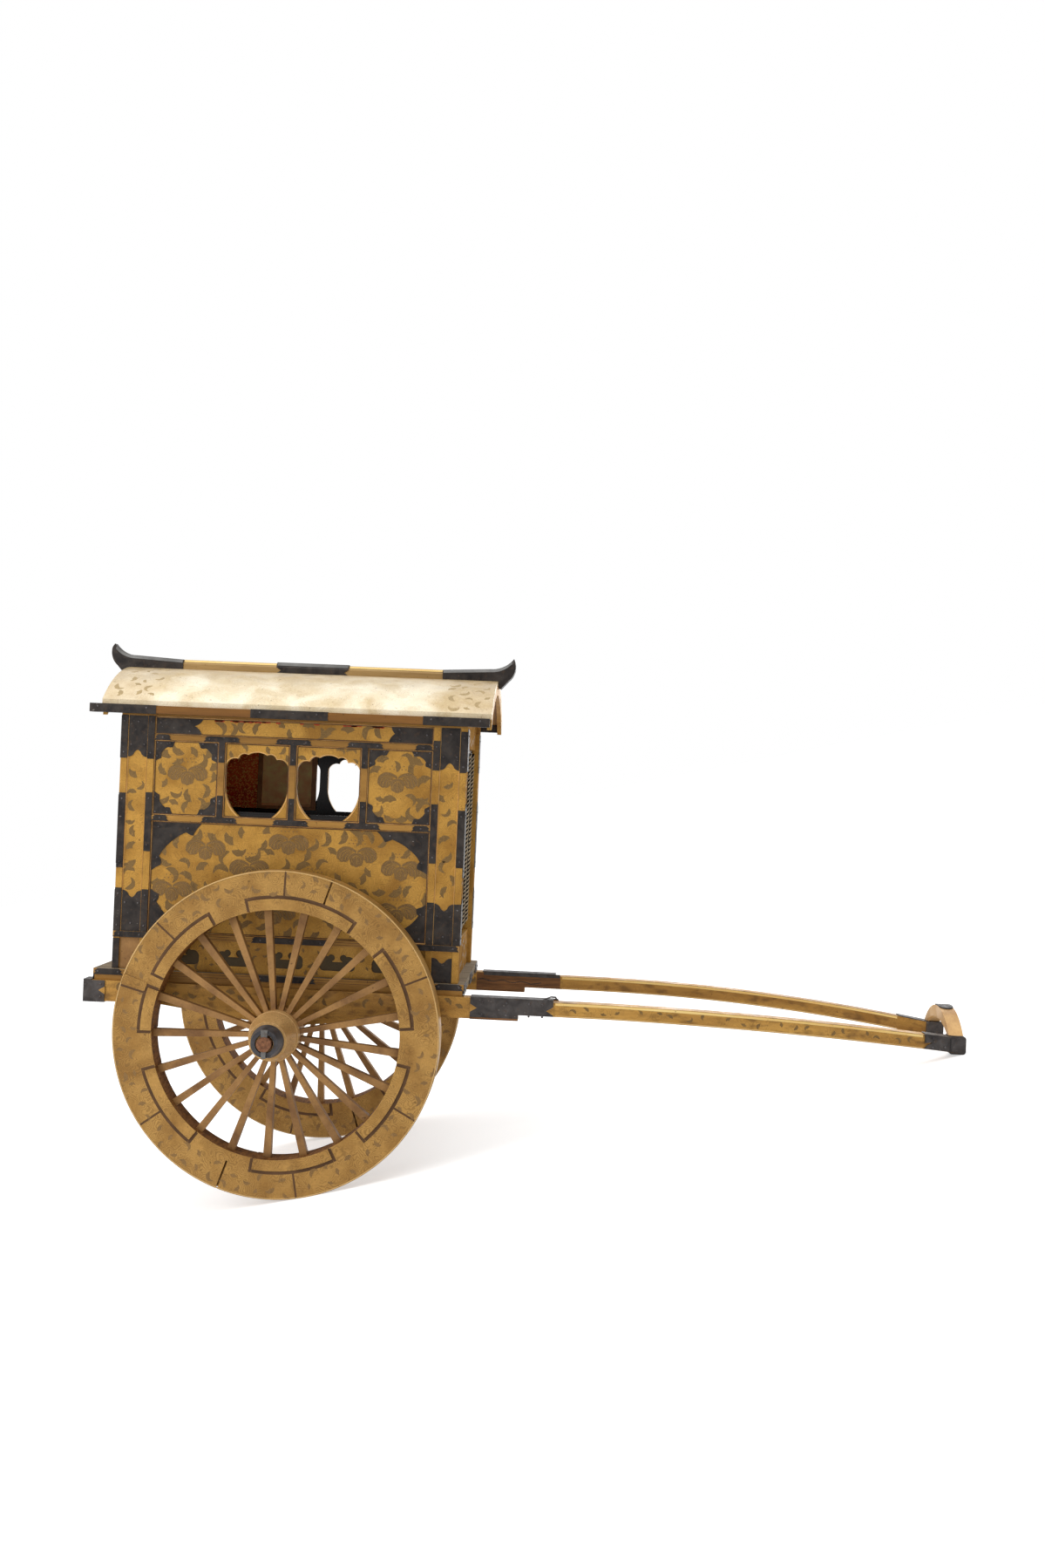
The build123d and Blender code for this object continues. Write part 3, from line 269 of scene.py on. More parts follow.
class Paint:
    """A principled material and short ways of adding its nodes."""

    def __init__(self, name, roughness=0.5, metallic=0.0, specular=0.25):
        self.material = bpy.data.materials.new(name)
        self.material.use_nodes = True
        self.tree = self.material.node_tree
        self.shader = self.tree.nodes["Principled BSDF"].inputs
        self.shader["Roughness"].default_value = roughness
        self.shader["Metallic"].default_value = metallic
        self.shader["Specular IOR Level"].default_value = specular
        origin = self.add("TexCoord", {}).outputs["Object"]
        turned = {"Vector": origin, "Rotation": (0, -PARK_PITCH, 0), "Scale": (1 / MM, 1 / MM, 1 / MM)}
        self.place = self.add("Mapping", turned).outputs["Vector"]

    def add(self, kind, sockets, **settings):
        """Adds a node to this material."""
        return add_node(self.tree, kind, sockets, **settings)

    def math(self, operation, first, second=0.0):
        """Result of a sum on one or two numbers."""
        return self.add("Math", {0: first, 1: second}, operation=operation).outputs[0]

    def noise(self, size, detail=3.0, stretch=(1, 1, 1), distortion=0.0):
        """Noise from 0 to 1 whose patches are about that many millimetres."""
        source = self.place
        if stretch != (1, 1, 1):
            scale = [1 / value for value in stretch]
            source = self.add("Mapping", {"Vector": source, "Scale": scale}).outputs["Vector"]
        sockets = {"Vector": source, "Scale": 1 / size, "Detail": detail, "Distortion": distortion}
        return self.add("TexNoise", sockets).outputs["Fac"]

    def ramp(self, value, *stops):
        """Colour or grey between two stops, each a place from 0 to 1 and a colour."""
        node = self.add("ValToRGB", {"Fac": value})
        for element, (at, colour) in zip(node.color_ramp.elements, stops):
            element.position = at
            element.color = colour if isinstance(colour, tuple) else (colour, colour, colour, 1)
        return node.outputs["Color"]

    def mix(self, share, first, second, blend="MIX"):
        """Colour between two, by the share of the second."""
        sockets = {0: share, 6: first, 7: second}
        return self.add("Mix", sockets, data_type="RGBA", blend_type=blend).outputs[2]

    def scrolls(self, cell, pitch, width):
        """Mask of fine concentric lines round scattered centres, like brushed feathers."""
        bend = self.add("TexNoise", {"Vector": self.place, "Scale": 1 / cell}).outputs["Color"]
        sockets = {0: bend, 1: (cell, cell, cell), 2: self.place}
        bent = self.add("VectorMath", sockets, operation="MULTIPLY_ADD").outputs["Vector"]
        reach = self.add("TexVoronoi", {"Vector": bent, "Scale": 1 / cell}).outputs["Distance"]
        rings = self.math("FRACT", self.math("MULTIPLY", reach, cell / pitch))
        away = self.math("ABSOLUTE", self.math("SUBTRACT", rings, 0.5))
        return self.math("LESS_THAN", away, width / 2)

    def edges(self, radius):
        """Mask of the edges of a piece, and a normal that rounds them."""
        rounded = self.add("Bevel", {"Radius": radius * MM}, samples=4).outputs["Normal"]
        plain = self.add("NewGeometry", {}).outputs["Normal"]
        dot = self.add("VectorMath", {0: rounded, 1: plain}, operation="DOT_PRODUCT")
        return self.math("SUBTRACT", 1.0, dot.outputs["Value"]), rounded

    def finish(self, colour, height, depth, normal=None, roughness=None):
        """Sets the colour, and a bump of that depth in millimetres."""
        feed(self.tree, self.shader["Base Color"], colour)
        if roughness is not None:
            feed(self.tree, self.shader["Roughness"], roughness)
        sockets = {"Strength": 0.6, "Distance": depth * MM, "Height": height}
        if normal is not None:
            sockets["Normal"] = normal
        feed(self.tree, self.shader["Normal"], self.add("Bump", sockets).outputs["Normal"])
        return self.material


# The cabin in the frame of the shading, whose origin is the part's: how far its middle is
# behind the origin, and half its length inside the end walls
CABIN_BEHIND = 29.0
CABIN_HALF = 112.0


def gold(name, bright, dull, worn, line_strength=0.0, grain=(1, 1, 1), metallic=0.3, roughness=0.42,
         specular=0.25, ridge=None, blotches=0.0):
    """Gold lacquer with clouded patches, fine engraved lines and brown specks, its edges lightened partly as
    rubbed wear and partly as a painted highlight, and for a roof a duller colour round a painted highlight.
    """
    bright, dull, worn = srgb(*bright), srgb(*dull), srgb(*worn)
    paint = Paint(name, roughness, metallic, specular)
    colour = paint.ramp(paint.noise(26, 4, grain, 0.4), (0.32, dull), (0.6, bright))
    # A roof's pale colour is a painted highlight: here it turns to the duller ridge colour near the ridge
    # and towards the roof's ends, where that painted highlight fades
    if ridge:
        apart = paint.add("SeparateXYZ", {"Vector": paint.place}).outputs
        along = paint.math("ADD", apart["X"], CABIN_BEHIND)
        for distance, patch, wander, whole, low, high in (
            (apart["Y"], (18, 3), 30.0, 100.0, (0.26, 0.85), (0.62, 0.0)),
            (along, (16, 4), 60.0, 170.0, (0.7, 0.0), (1.0, 0.55)),
        ):
            away = paint.math("ABSOLUTE", distance)
            shade = paint.math("ADD", away, paint.math("MULTIPLY", paint.noise(*patch), wander))
            share = paint.ramp(paint.math("DIVIDE", shade, whole), low, high)
            colour = paint.mix(share, colour, srgb(*ridge))
    fine = paint.noise(1.6, 4, grain)
    colour = paint.mix(0.35, colour, paint.ramp(fine, (0.3, 0.35), (0.7, 0.62)), "OVERLAY")
    if line_strength:
        strength = paint.ramp(paint.noise(14, 2), (0.32, 0.0), (0.52, line_strength))
        faded = paint.math("MULTIPLY", paint.scrolls(9.0, 1.15, 0.42), strength)
        colour = paint.mix(faded, colour, worn)
    specks = paint.ramp(paint.noise(2.6, 2), (0.71, 0.0), (0.74, 0.75))
    colour = paint.mix(specks, colour, worn)
    if blotches:
        spots = paint.ramp(paint.noise(5.0, 5, (2.2, 1, 1)), (0.5, 0.0), (0.68, blotches))
        colour = paint.mix(spots, colour, worn)
    # Edges made lighter: partly rubbed wear, partly a painted highlight where edges catch the light
    edge, rounded = paint.edges(0.45)
    rubbed_and_highlit = paint.ramp(paint.math("MULTIPLY", edge, paint.noise(7, 3)), (0.03, 0.0), (0.12, 0.8))
    colour = paint.mix(rubbed_and_highlit, colour, scaled(bright, 1.25, 0.03))
    gloss = paint.ramp(paint.noise(11, 3), (0.35, roughness - 0.08), (0.65, roughness + 0.14))
    return paint.finish(colour, fine, 0.06, rounded, gloss)


def make_iron(name, dark, light, metallic):
    """Blackened metal with brownish bloom, pale scuffs, edges lightened partly as wear and partly as a
    painted highlight, and a rolled surface.
    """
    paint = Paint(name, 0.5, metallic)
    clouds = paint.noise(9, 5, (1, 1, 1), 0.6)
    colour = paint.ramp(clouds, (0.34, srgb(*dark)), (0.66, srgb(*light)))
    bloom = paint.ramp(paint.noise(3.2, 4), (0.56, 0.0), (0.68, 0.5))
    colour = paint.mix(bloom, colour, srgb(74, 58, 46))
    scuffs = paint.ramp(paint.noise(1.3, 2, (3, 1, 1)), (0.72, 0.0), (0.76, 0.7))
    colour = paint.mix(scuffs, colour, srgb(140, 132, 124))
    # Edges made lighter: partly rubbed wear, partly a painted highlight
    edge, rounded = paint.edges(0.3)
    rubbed_and_highlit = paint.ramp(paint.math("MULTIPLY", edge, paint.noise(5, 3)), (0.05, 0.0), (0.16, 0.6))
    colour = paint.mix(rubbed_and_highlit, colour, srgb(126, 118, 110))
    gloss = paint.ramp(paint.noise(4, 3), (0.3, 0.36), (0.7, 0.62))
    return paint.finish(colour, paint.noise(1.0, 3), 0.07, rounded, gloss)


def make_leaf(name, colour, vein):
    """Dark leaf ground of the crests, with faint gold lines in it."""
    paint = Paint(name, 0.5, 0.2)
    colour = srgb(*colour)
    base = paint.ramp(paint.noise(7, 3), (0.3, scaled(colour, 0.8)), (0.7, colour))
    lines = paint.math("MULTIPLY", paint.scrolls(6.0, 0.8, 0.34), 0.3)
    return paint.finish(paint.mix(lines, base, srgb(*vein)), paint.noise(1.2, 2), 0.04)


def make_wood(name, light, dark, grain=(14, 1, 1), specular=0.25):
    """Bare or thinly coated wood with its grain along the carriage."""
    paint = Paint(name, 0.62, specular=specular)
    bands = paint.ramp(paint.noise(2.2, 5, grain, 0.3), (0.3, srgb(*dark)), (0.62, srgb(*light)))
    streaks = paint.ramp(paint.noise(0.7, 3, grain), (0.35, 0.3), (0.65, 0.65))
    colour = paint.mix(0.5, bands, streaks, "OVERLAY")
    return paint.finish(colour, paint.noise(0.9, 3, grain), 0.08)


def make_speckled(name, overhang=None):
    """Red lacquer sprinkled with orange gold flakes, and plain past the cabin's ends."""
    paint = Paint(name, 0.3)
    ground = paint.ramp(paint.noise(20, 2), (0.35, srgb(204, 72, 34)), (0.65, srgb(244, 122, 58)))
    dust = paint.add("TexVoronoi", {"Vector": paint.place, "Scale": 1 / 1.3}).outputs["Distance"]
    flakes = paint.math("MULTIPLY", paint.math("LESS_THAN", dust, 0.42), 0.85)
    colour = paint.mix(flakes, ground, srgb(255, 200, 112))
    if overhang:
        apart = paint.add("SeparateXYZ", {"Vector": paint.place}).outputs
        along = paint.math("ABSOLUTE", paint.math("ADD", apart["X"], CABIN_BEHIND))
        colour = paint.mix(paint.math("GREATER_THAN", along, CABIN_HALF), colour, srgb(*overhang))
    return paint.finish(colour, paint.noise(1.0, 2), 0.03)


def make_lacquer(name, colour, roughness=0.25):
    """Smooth lacquer with faint clouds and dust."""
    paint = Paint(name, roughness)
    colour = srgb(*colour)
    clouds = paint.ramp(paint.noise(12, 4), (0.35, colour), (0.7, scaled(colour, 1.6, 0.004)))
    return paint.finish(clouds, paint.noise(1.4, 2), 0.02)


GOLD_PANEL = gold("gold_panel", (190, 143, 64), (154, 110, 43), (104, 70, 36), 0.28)
GOLD_RAIL = gold("gold_rail", (168, 124, 60), (130, 92, 42), (78, 50, 28), 0.0, (8, 1, 1))
GOLD_WHEEL = gold("gold_wheel", (180, 138, 74), (146, 106, 52), (104, 76, 42), 0.42, roughness=0.48)
GOLD_HUB = gold("gold_hub", (206, 166, 108), (176, 134, 80), (104, 74, 44), 0.3, (1, 4, 1))
GOLD_SPOKE = gold("gold_spoke", (160, 120, 72), (116, 82, 50), (72, 48, 30), roughness=0.5)
GOLD_SHAFT = gold(
    "gold_shaft", (192, 146, 72), (150, 106, 46), (86, 58, 30), 0.2, (10, 1, 1), blotches=0.6
)
GOLD_YOKE = gold("gold_yoke", (208, 168, 112), (178, 136, 90), (112, 80, 52), 0.0, (1, 1, 4))
GOLD_RIDGE = gold("gold_ridge", (170, 138, 88), (136, 106, 62), (96, 68, 40), 0.0, (10, 1, 1))
GOLD_EAVE = gold("gold_eave", (148, 102, 48), (112, 74, 34), (76, 48, 28), 0.0, (12, 1, 1))
# The roof's near-white gold is a painted highlight; ridge is the duller colour where that painted highlight
# fades
GOLD_ROOF = gold(
    "gold_roof", (246, 234, 208), (212, 190, 148), (136, 112, 80), 0.16, roughness=0.36,
    ridge=(188, 160, 112),
)
LEAF = make_leaf("leaf_ground", (122, 94, 56), (176, 136, 76))
LEAF_SOFT = make_leaf("leaf_soft", (120, 93, 53), (170, 132, 72))
# Pale copy of the leaf ground for the roof: painted highlight, to go with the roof's painted highlight
LEAF_ROOF = make_leaf("leaf_roof", (178, 152, 106), (222, 202, 158))
LEAF_WHEEL = make_leaf("leaf_wheel", (136, 104, 62), (170, 132, 78))
IRON = make_iron("blackened_iron", (34, 30, 29), (60, 54, 50), 0.35)
SHAFT_IRON = make_iron("shaft_iron", (48, 44, 43), (80, 75, 73), 0.3)
IRON_RING = make_iron("dark_ring", (52, 51, 53), (84, 83, 86), 0.35)
NAIL = make_iron("nail_iron", (58, 54, 56), (104, 100, 100), 0.7)
GREY_WOOD = make_wood("worn_board", (150, 136, 114), (104, 90, 72), specular=0.05)
BROWN_WOOD = make_wood("brown_wood", (128, 86, 48), (82, 52, 28))
PIN_IRON = make_iron("pin_iron", (96, 94, 92), (130, 128, 124), 0.4)
AXLE_WOOD = make_wood("axle_wood", (142, 96, 66), (92, 58, 40), (1, 8, 1))
SPECKLED = make_speckled("speckled_lacquer")
ROOF_INSIDE = make_speckled("roof_inside", (186, 142, 82))
BLACK = make_lacquer("black_lacquer", (18, 12, 10))
SHUTTER = make_lacquer("shutter_board", (244, 198, 134), 0.45)
SHUTTER_FRAME = make_lacquer("shutter_frame", (146, 104, 62), 0.4)
# Lit and shaded copies of the blinds' reeds: the dark one is painted shade on faces that look down or inward
BLIND_LIT = make_wood("blind_reed_lit", (190, 164, 126), (120, 94, 66), (1, 20, 1))
BLIND_SHADED = make_wood("blind_reed_shaded", (44, 38, 40), (22, 18, 20), (1, 20, 1))
GROOVE = make_lacquer("dark_joint", (80, 56, 34), 0.7)
INNER_RIM = make_wood("inner_rim", (132, 90, 48), (92, 60, 34), (1, 4, 1), 0.05)
CLOUD = make_leaf("cloud_ground", (84, 70, 46), (60, 50, 36))
# Pale gold for edges: partly rubbed wear and partly painted highlight on the rims, only painted highlight on
# the poles' feet
GOLD_RUBBED_HIGHLIGHT = gold(
    "gold_rubbed_highlight", (222, 184, 122), (196, 154, 92), (140, 102, 58), 0.0, (6, 1, 1), metallic=0.2
)
# Pale gold for painted highlights along the poles and the ridge
GOLD_HIGHLIGHT = gold(
    "gold_highlight", (246, 214, 140), (226, 182, 104), (150, 108, 58), 0.0, (14, 1, 1), metallic=0.2
)
# Pale iron: painted highlight on the upper bevels of the horns and the middle cap
IRON_HIGHLIGHT = make_lacquer("iron_highlight", (104, 103, 101), 0.5)
# Darker copy of the panel gold for faces that look forward or back: painted shade, and matte to hold back
# their reflection
GOLD_END_SHADED = gold(
    "gold_end_shaded", (172, 126, 60), (138, 98, 44), (92, 62, 34), 0.2, metallic=0.0, roughness=0.8,
    specular=0.02,
)
# Pale colour of the bindings' strands: painted highlight
CORD_HIGHLIGHT = make_lacquer("reed_binding_highlight", (184, 168, 140), 0.6)
BEAD = make_lacquer("bead_gold", (206, 164, 104), 0.4)
RED_GROUND = make_lacquer("red_ground", (150, 52, 24), 0.5)


def dress(finish, *names):
    """Gives CAD nodes one material."""
    for name in names:
        materials = nodes[name].data.materials
        materials.clear()
        materials.append(finish)


def dress_faces(finish, chosen, *names):
    """Gives another material to the faces of nodes that the test picks by middle and normal."""
    turn_back = BODY_TURN.inverted().to_3x3()
    for name in names:
        mesh = nodes[name].data
        mesh.materials.append(finish)
        index = len(mesh.materials) - 1
        for polygon in mesh.polygons:
            if chosen(BODY_BACK @ polygon.center, turn_back @ polygon.normal):
                polygon.material_index = index


def in_groove(point, normal):
    """Whether a face lies in one of the sunk joints on either side of a rim."""
    return 0.05 < min(RIM_FACE_Y - abs(point.y), abs(point.y) - RIM_BACK_Y) < 1.2


def faces_hub(point, normal):
    """Whether a face of a rim looks towards the axle."""
    return normal.x * point.x + normal.z * (point.z - WHEEL_R) < -60


def faces_end(point, normal):
    """Whether a face looks forward or back."""
    return abs(normal.x) > 0.7


def faces_inward(point, normal):
    """Whether a face looks towards the middle of the cabin."""
    return normal.y * math.copysign(1, point.y) < -0.7


for finish, names in (
    (GOLD_PANEL, "window_panels_right window_panels_left lower_panels upper_panels friezes skirts"),
    (GOLD_PANEL, "lintels end_sills gables corner_posts bargeboards"),
    (GOLD_RAIL, "side_frame_right side_frame_left wall_plates platform bearers"),
    (GOLD_ROOF, "roof"),
    (GOLD_EAVE, "eave_boards"),
    (GOLD_SHAFT, "shaft_right shaft_left"),
    (GOLD_YOKE, "yoke"),
    (GOLD_RIDGE, "ridge_beam"),
    (SPECKLED, "cabin_floor"),
    (BLACK, "shutter_rails"),
    (SHUTTER, "shutter_right shutter_left"),
    (BLIND_LIT, "blind_front blind_rear"),
    (GOLD_WHEEL, "rim_right small_felloes_right rim_left small_felloes_left"),
    (GOLD_HUB, "hub_right hub_left"),
    (GOLD_SPOKE, "spokes_right spokes_left"),
    (IRON_RING, "nose_ring_right nose_ring_left"),
    (SHAFT_IRON, "shaft_sleeves tail_caps tip_cap_right tip_cap_left"),
    (IRON, "crown_plate ridge_horns ridge_mid_cap"),
    (PIN_IRON, "linchpins"),
    (AXLE_WOOD, "axle"),
):
    dress(finish, *names.split())
for _, name in SIDES:
    dress_faces(GROOVE, in_groove, f"rim_{name}")
    dress_faces(IRON_RING, lambda p, n: abs(p.y) > 137, f"hub_{name}")
    dress_faces(INNER_RIM, faces_hub, f"rim_{name}", f"small_felloes_{name}")
dress_faces(CLOUD, lambda p, n: 68.6 < abs(p.y) < 69.9, "skirts")
# Faces that look forward or back get the darker gold: painted shade
dress_faces(
    GOLD_END_SHADED, faces_end, "end_sills", "lintels", "wall_plates", "corner_posts", "gables", "skirts"
)
dress_faces(SPECKLED, faces_inward, "upper_panels", "lower_panels", "friezes")
for _, name in SIDES:
    dress_faces(BLACK, faces_inward, f"side_frame_{name}", f"window_panels_{name}")
dress_faces(SPECKLED, lambda p, n: n.x * p.x < 0, "gables")
dress_faces(ROOF_INSIDE, lambda p, n: n.z < -0.3, "roof")
# Reed faces that look down or into the cabin get painted shade
dress_faces(BLIND_SHADED, lambda p, n: n.z < -0.2 or n.x * p.x < 0, "blind_front", "blind_rear")
dress_faces(GREY_WOOD, lambda p, n: n.z > 0.7 or n.x > 0.7, "platform")

# Iron mounts: thin plates with cusped edges on the panels, rails, mouldings and boards. Here
# and below, bare places and reaches are in millimetres of the carriage's frame.
SMALL_EDGE = trace(
    (1, 0), ((0.84, 0.30), 0.05), ((0.62, 0.31), -0.10), ((0.31, 0.60), 0.08),
    ((0.31, 0.82), -0.10), ((0, 1), 0.05),
)
LONG_EDGE = trace(
    (1, 0), ((0.81, 0.27), 0.05), ((0.68, 0.21), -0.06), ((0.36, 0.43), 0.05),
    ((0.17, 0.69), 0.05), ((0.21, 0.86), -0.12), ((0, 1), 0.05),
)
corners, straps = new_meshes(2)
nails = []


def bracket(u0, u1, v, depth, bulge=0.12):
    """Edge from u0 to u1 that swings from v to v + depth in the middle, as a bracket does."""
    knee = (u0 + 0.3 * (u1 - u0), v + 0.4 * depth)
    way = -math.copysign(bulge, depth)
    left = trace((u0, v), (knee, way), (((u0 + u1) / 2, v + depth), -way), steps=4)
    return left + [(u0 + u1 - u, w) for u, w in reversed(left[:-1])]


def slanted(u, v, cut=2.6):
    """Strip between two values of u, with small cusps at both ends."""
    low, high = v[0] + 0.4 * (v[1] - v[0]), v[0] + 0.6 * (v[1] - v[0])
    right = [(u[1], v[0]), (u[1] - 0.6 * cut, low), (u[1] - 0.3 * cut, high), (u[1] - cut, v[1])]
    left = [(u[0] + cut, v[1]), (u[0] + 0.3 * cut, high), (u[0] + 0.6 * cut, low), (u[0], v[0])]
    return right + left


def add_mount(bm, place, outline):
    """Iron plate on a surface."""
    add_plate(bm, outline, place, 0.0, MOUNT)


def corner_mount(place, corner, reach, edge):
    """Corner plate with three nails."""
    outline = [corner] + [(corner[0] + reach[0] * a, corner[1] + reach[1] * b) for a, b in edge]
    add_mount(corners, place, outline)
    for a, b in ((0.14, 0.12), (0.72, 0.13), (0.13, 0.72)):
        nails.append((place, corner[0] + reach[0] * a, corner[1] + reach[1] * b))


def cusped_mount(bm, place, u, v, depth, root):
    """Plate from a straight root to an edge like a bracket."""
    add_mount(bm, place, bracket(*u, v, depth)[::-1] + [(u[0], root), (u[1], root)])


def nail_row(place, u, v, *shares):
    """Nails at shares of the way from one u to another."""
    nails.extend((place, u[0] + share * (u[1] - u[0]), v) for share in shares)


for side, _ in SIDES:
    panel = side_face(side, PANEL_Y)
    lattice = side_face(side, LATTICE_Y)
    sunk = side_face(side, POST_SUNK_Y)
    sill = side_face(side, SILL_Y)
    # Corner plates of the lower panel and of the two upper ones
    for corner, reach in (
        ((REAR_X, WAIST_Z), (39.5, -39.0)),
        ((FRONT_X, WAIST_Z), (-41.8, -33.0)),
        ((REAR_X, SILL_TOP), (36.0, 33.9)),
        ((FRONT_X, SILL_TOP), (-38.0, 30.8)),
    ):
        corner_mount(panel, corner, reach, LONG_EDGE)
    for bay, reaches in (
        (rear_bay, ((16.4, -17.0), (-17.0, -17.0), (16.1, 18.9), (-16.0, 17.0))),
        (front_bay, ((17.0, -15.5), (-17.4, -14.8), (15.6, 17.0), (-15.4, 16.2))),
    ):
        places = [(bay[end].x, v) for v in (HEAD_Z, WAIST_TOP) for end in (0, 1)]
        for corner, reach in zip(places, reaches):
            corner_mount(panel, corner, reach, SMALL_EDGE)
    # Straps on the rails and battens
    for rail in ((HEAD_Z, HEAD_TOP), (WAIST_Z, WAIST_TOP)):
        for u in ((REAR_X, REAR_X + 12.9), (FRONT_X - 14.3, FRONT_X)):
            add_mount(straps, lattice, slanted(u, rail))
            nails.append((lattice, (u[0] + u[1]) / 2, (rail[0] + rail[1]) / 2))
        for middle, _ in BATTENS:
            add_mount(straps, lattice, slanted((middle - 14, middle + 14), rail))
            for shift in (-9.5, 9.5):
                nails.append((lattice, middle + shift, (rail[0] + rail[1]) / 2))
    for middle, half in BATTENS:
        for v in ((WAIST_TOP, WAIST_TOP + 16.4), (HEAD_Z - 15.5, HEAD_Z)):
            add_mount(straps, lattice, rectangle((middle - half, middle + half), v))
            nails.append((lattice, middle, v[0] + 4.0 if v[0] > WAIST_TOP else v[1] - 4.0))
    # Friezes
    edge = trace((-71.3, HEAD_TOP), ((-77.2, 346.1), -0.12), ((-70.2, FRIEZE_TOP), -0.12))
    add_mount(corners, panel, [(REAR_X, FRIEZE_TOP), (REAR_X, HEAD_TOP)] + edge)
    edge = trace((72.5, FRIEZE_TOP), ((75.2, 346.4), -0.12), ((70.6, HEAD_TOP), -0.12))
    add_mount(corners, panel, [(FRONT_X, HEAD_TOP), (FRONT_X, FRIEZE_TOP)] + edge)
    for u, v in (
        (-102.9, 347.8), (-81.0, 350.3), (-80.7, 342.0), (78.6, 349.9), (79.1, 342.6), (99.5, 346.4),
    ):
        nails.append((panel, u, v))
    # Posts: plates on the sunk panels, with bracket-shaped edges, and strips on the mouldings
    for u, top in ((REAR_POST, 321.0), (FRONT_POST, 320.5)):
        cusped_mount(corners, sunk, u, top, 5.5, FRIEZE_TOP)
        cusped_mount(corners, sunk, u, 220.0, -5.5, SILL_TOP)
        middle = (u[0] + u[1]) / 2
        for du, v in ((0, 348.0), (-5, 330.5), (5, 330.7), (-5, 210.5), (5, 210.3), (0, 195.0)):
            nails.append((sunk, middle + du, v))
    cusped_mount(corners, sunk, FRONT_POST, 179.1, -4.0, 160.6)
    for edge_x, stretches in (
        (REAR_END, ((320.0, FRIEZE_TOP), (236.9, 293.6), (SILL_TOP, 221.5))),
        (REAR_X - MOULDING, ((320.0, FRIEZE_TOP), (250.0, 294.6), (SILL_TOP, 221.0))),
        (FRONT_X, ((320.1, 342.4), (250.0, 294.6), (SILL_TOP, 220.6))),
        (FRONT_END - MOULDING, ((319.0, 350.0), (247.5, 290.7), (SILL_TOP, 220.0))),
    ):
        for v in stretches:
            add_mount(straps, lattice, rectangle((edge_x, edge_x + MOULDING), v))
            for at in (v[0] + 4.5, v[1] - 4.5):
                nails.append((lattice, edge_x + MOULDING / 2, at))
    # Sill rail
    for u in ((REAR_END, REAR_END + 41), (-27.0, 33.0), (FRONT_END - 39, FRONT_END)):
        add_mount(straps, sill, slanted(u, (SILL_Z, SILL_TOP)))
        nail_row(sill, u, (SILL_Z + SILL_TOP) / 2, 0.12, 0.5, 0.88)

# Sides of the platform, and the eaves, whose iron goes round the boards
EAVE_COVER = 0.35
for side, _ in SIDES:
    board = side_face(side, platform_high.y)
    for u in (
        (platform_low.x, platform_low.x + 22.7), (-26.0, 24.0), (platform_high.x - 22.7, platform_high.x),
    ):
        add_mount(straps, board, slanted(u, (155.8, platform_high.z), 3.4))
        nail_row(board, u, 158.1, 0.16, 0.84)
    eave_low, eave_high = span("eave_boards", lambda p: p.y * side > 0)
    inner, outer = sorted((abs(eave_low.y), abs(eave_high.y)))
    for u in ((eave_low.x, -105.0), (-33.0, 25.0), (97.0, eave_high.x)):
        sleeve = rectangle((u[0] - 0.2, u[1] + 0.2), (eave_low.z - EAVE_COVER, eave_high.z + EAVE_COVER))
        add_plate(straps, sleeve, side_face(side, inner), -EAVE_COVER, outer - inner + 0.8)
        nail_row(side_face(side, outer), u, (eave_low.z + eave_high.z) / 2 + 1.0, 0.12, 0.86)

# The same mounts on the ends of the posts and of the platform
for hand, end_x in ((-1, REAR_END), (1, FRONT_END)):
    face = end_face(hand, end_x)
    for side, _ in SIDES:
        for v, depth in (((320.0, 352.0), 0.001), ((240.0, 292.0), 4.0), ((SILL_TOP, 220.0), 4.0)):
            cusped_mount(straps, face, sorted((side * 58.5, side * 71.9)), v[1], depth, v[0])
            for at in (v[0] + 5, v[1] - 5):
                nails.append((face, side * 65.2, at))
    board = end_face(hand, platform_high.x if hand > 0 else platform_low.x)
    for u in ((-75.8, -50.0), (-14.0, 14.0), (50.0, 75.8)):
        add_mount(straps, board, slanted(u, (152.2, platform_high.z - 0.2)))
        nail_row(board, u, 156.4, 0.16, 0.84)

make("corner_mounts", corners, IRON)
make("rail_straps", straps, IRON)
heads = bmesh.new()
for place, u, v in nails:
    add_nail(heads, place, u, v, MOUNT)
make("mount_nails", heads, NAIL, smooth=True)

# Crests of three lobed leaves, and curled leaves scattered round them
WING = trace(
    (0.4, 5.0), ((7.5, 8.2), 0.08), ((12.6, 6.6), 0.10), ((15.2, 1.6), 0.14), ((13.2, -2.2), 0.22),
    ((9.6, -3.4), 0.22), ((6.0, -1.7), 0.22), ((4.4, 0.6), 0.15), ((0.4, 2.0), 0.0), steps=4,
)
MIDDLE_LEAF = trace(
    (-4.0, 2.4), ((4.0, 2.4), 0.12), ((4.8, -3.6), 0.12), ((1.9, -6.4), 0.25),
    ((-1.9, -6.4), 0.25), ((-4.8, -3.6), 0.25), ((-4.0, 2.4), 0.12), steps=4,
)[:-1]
WING_VEINS = (
    ((13.4, -1.4), 0.34), ((11.4, -2.6), 0.31), ((8.6, -2.6), 0.27), ((6.2, -0.8), 0.22),
    ((4.6, 1.2), 0.16),
)
MIDDLE_VEINS = (
    ((0, -5.6), 0.0), ((3.3, -3.9), 0.22), ((-3.3, -3.9), -0.22), ((2.0, -0.6), 0.2),
    ((-2.0, -0.6), -0.2),
)
CREST_DOTS = [(x * 3.0, 10.6) for x in (-2, -1, 0, 1, 2)] + [(x * 3.0, 13.0) for x in (-1.5, -0.5, 0.5, 1.5)]


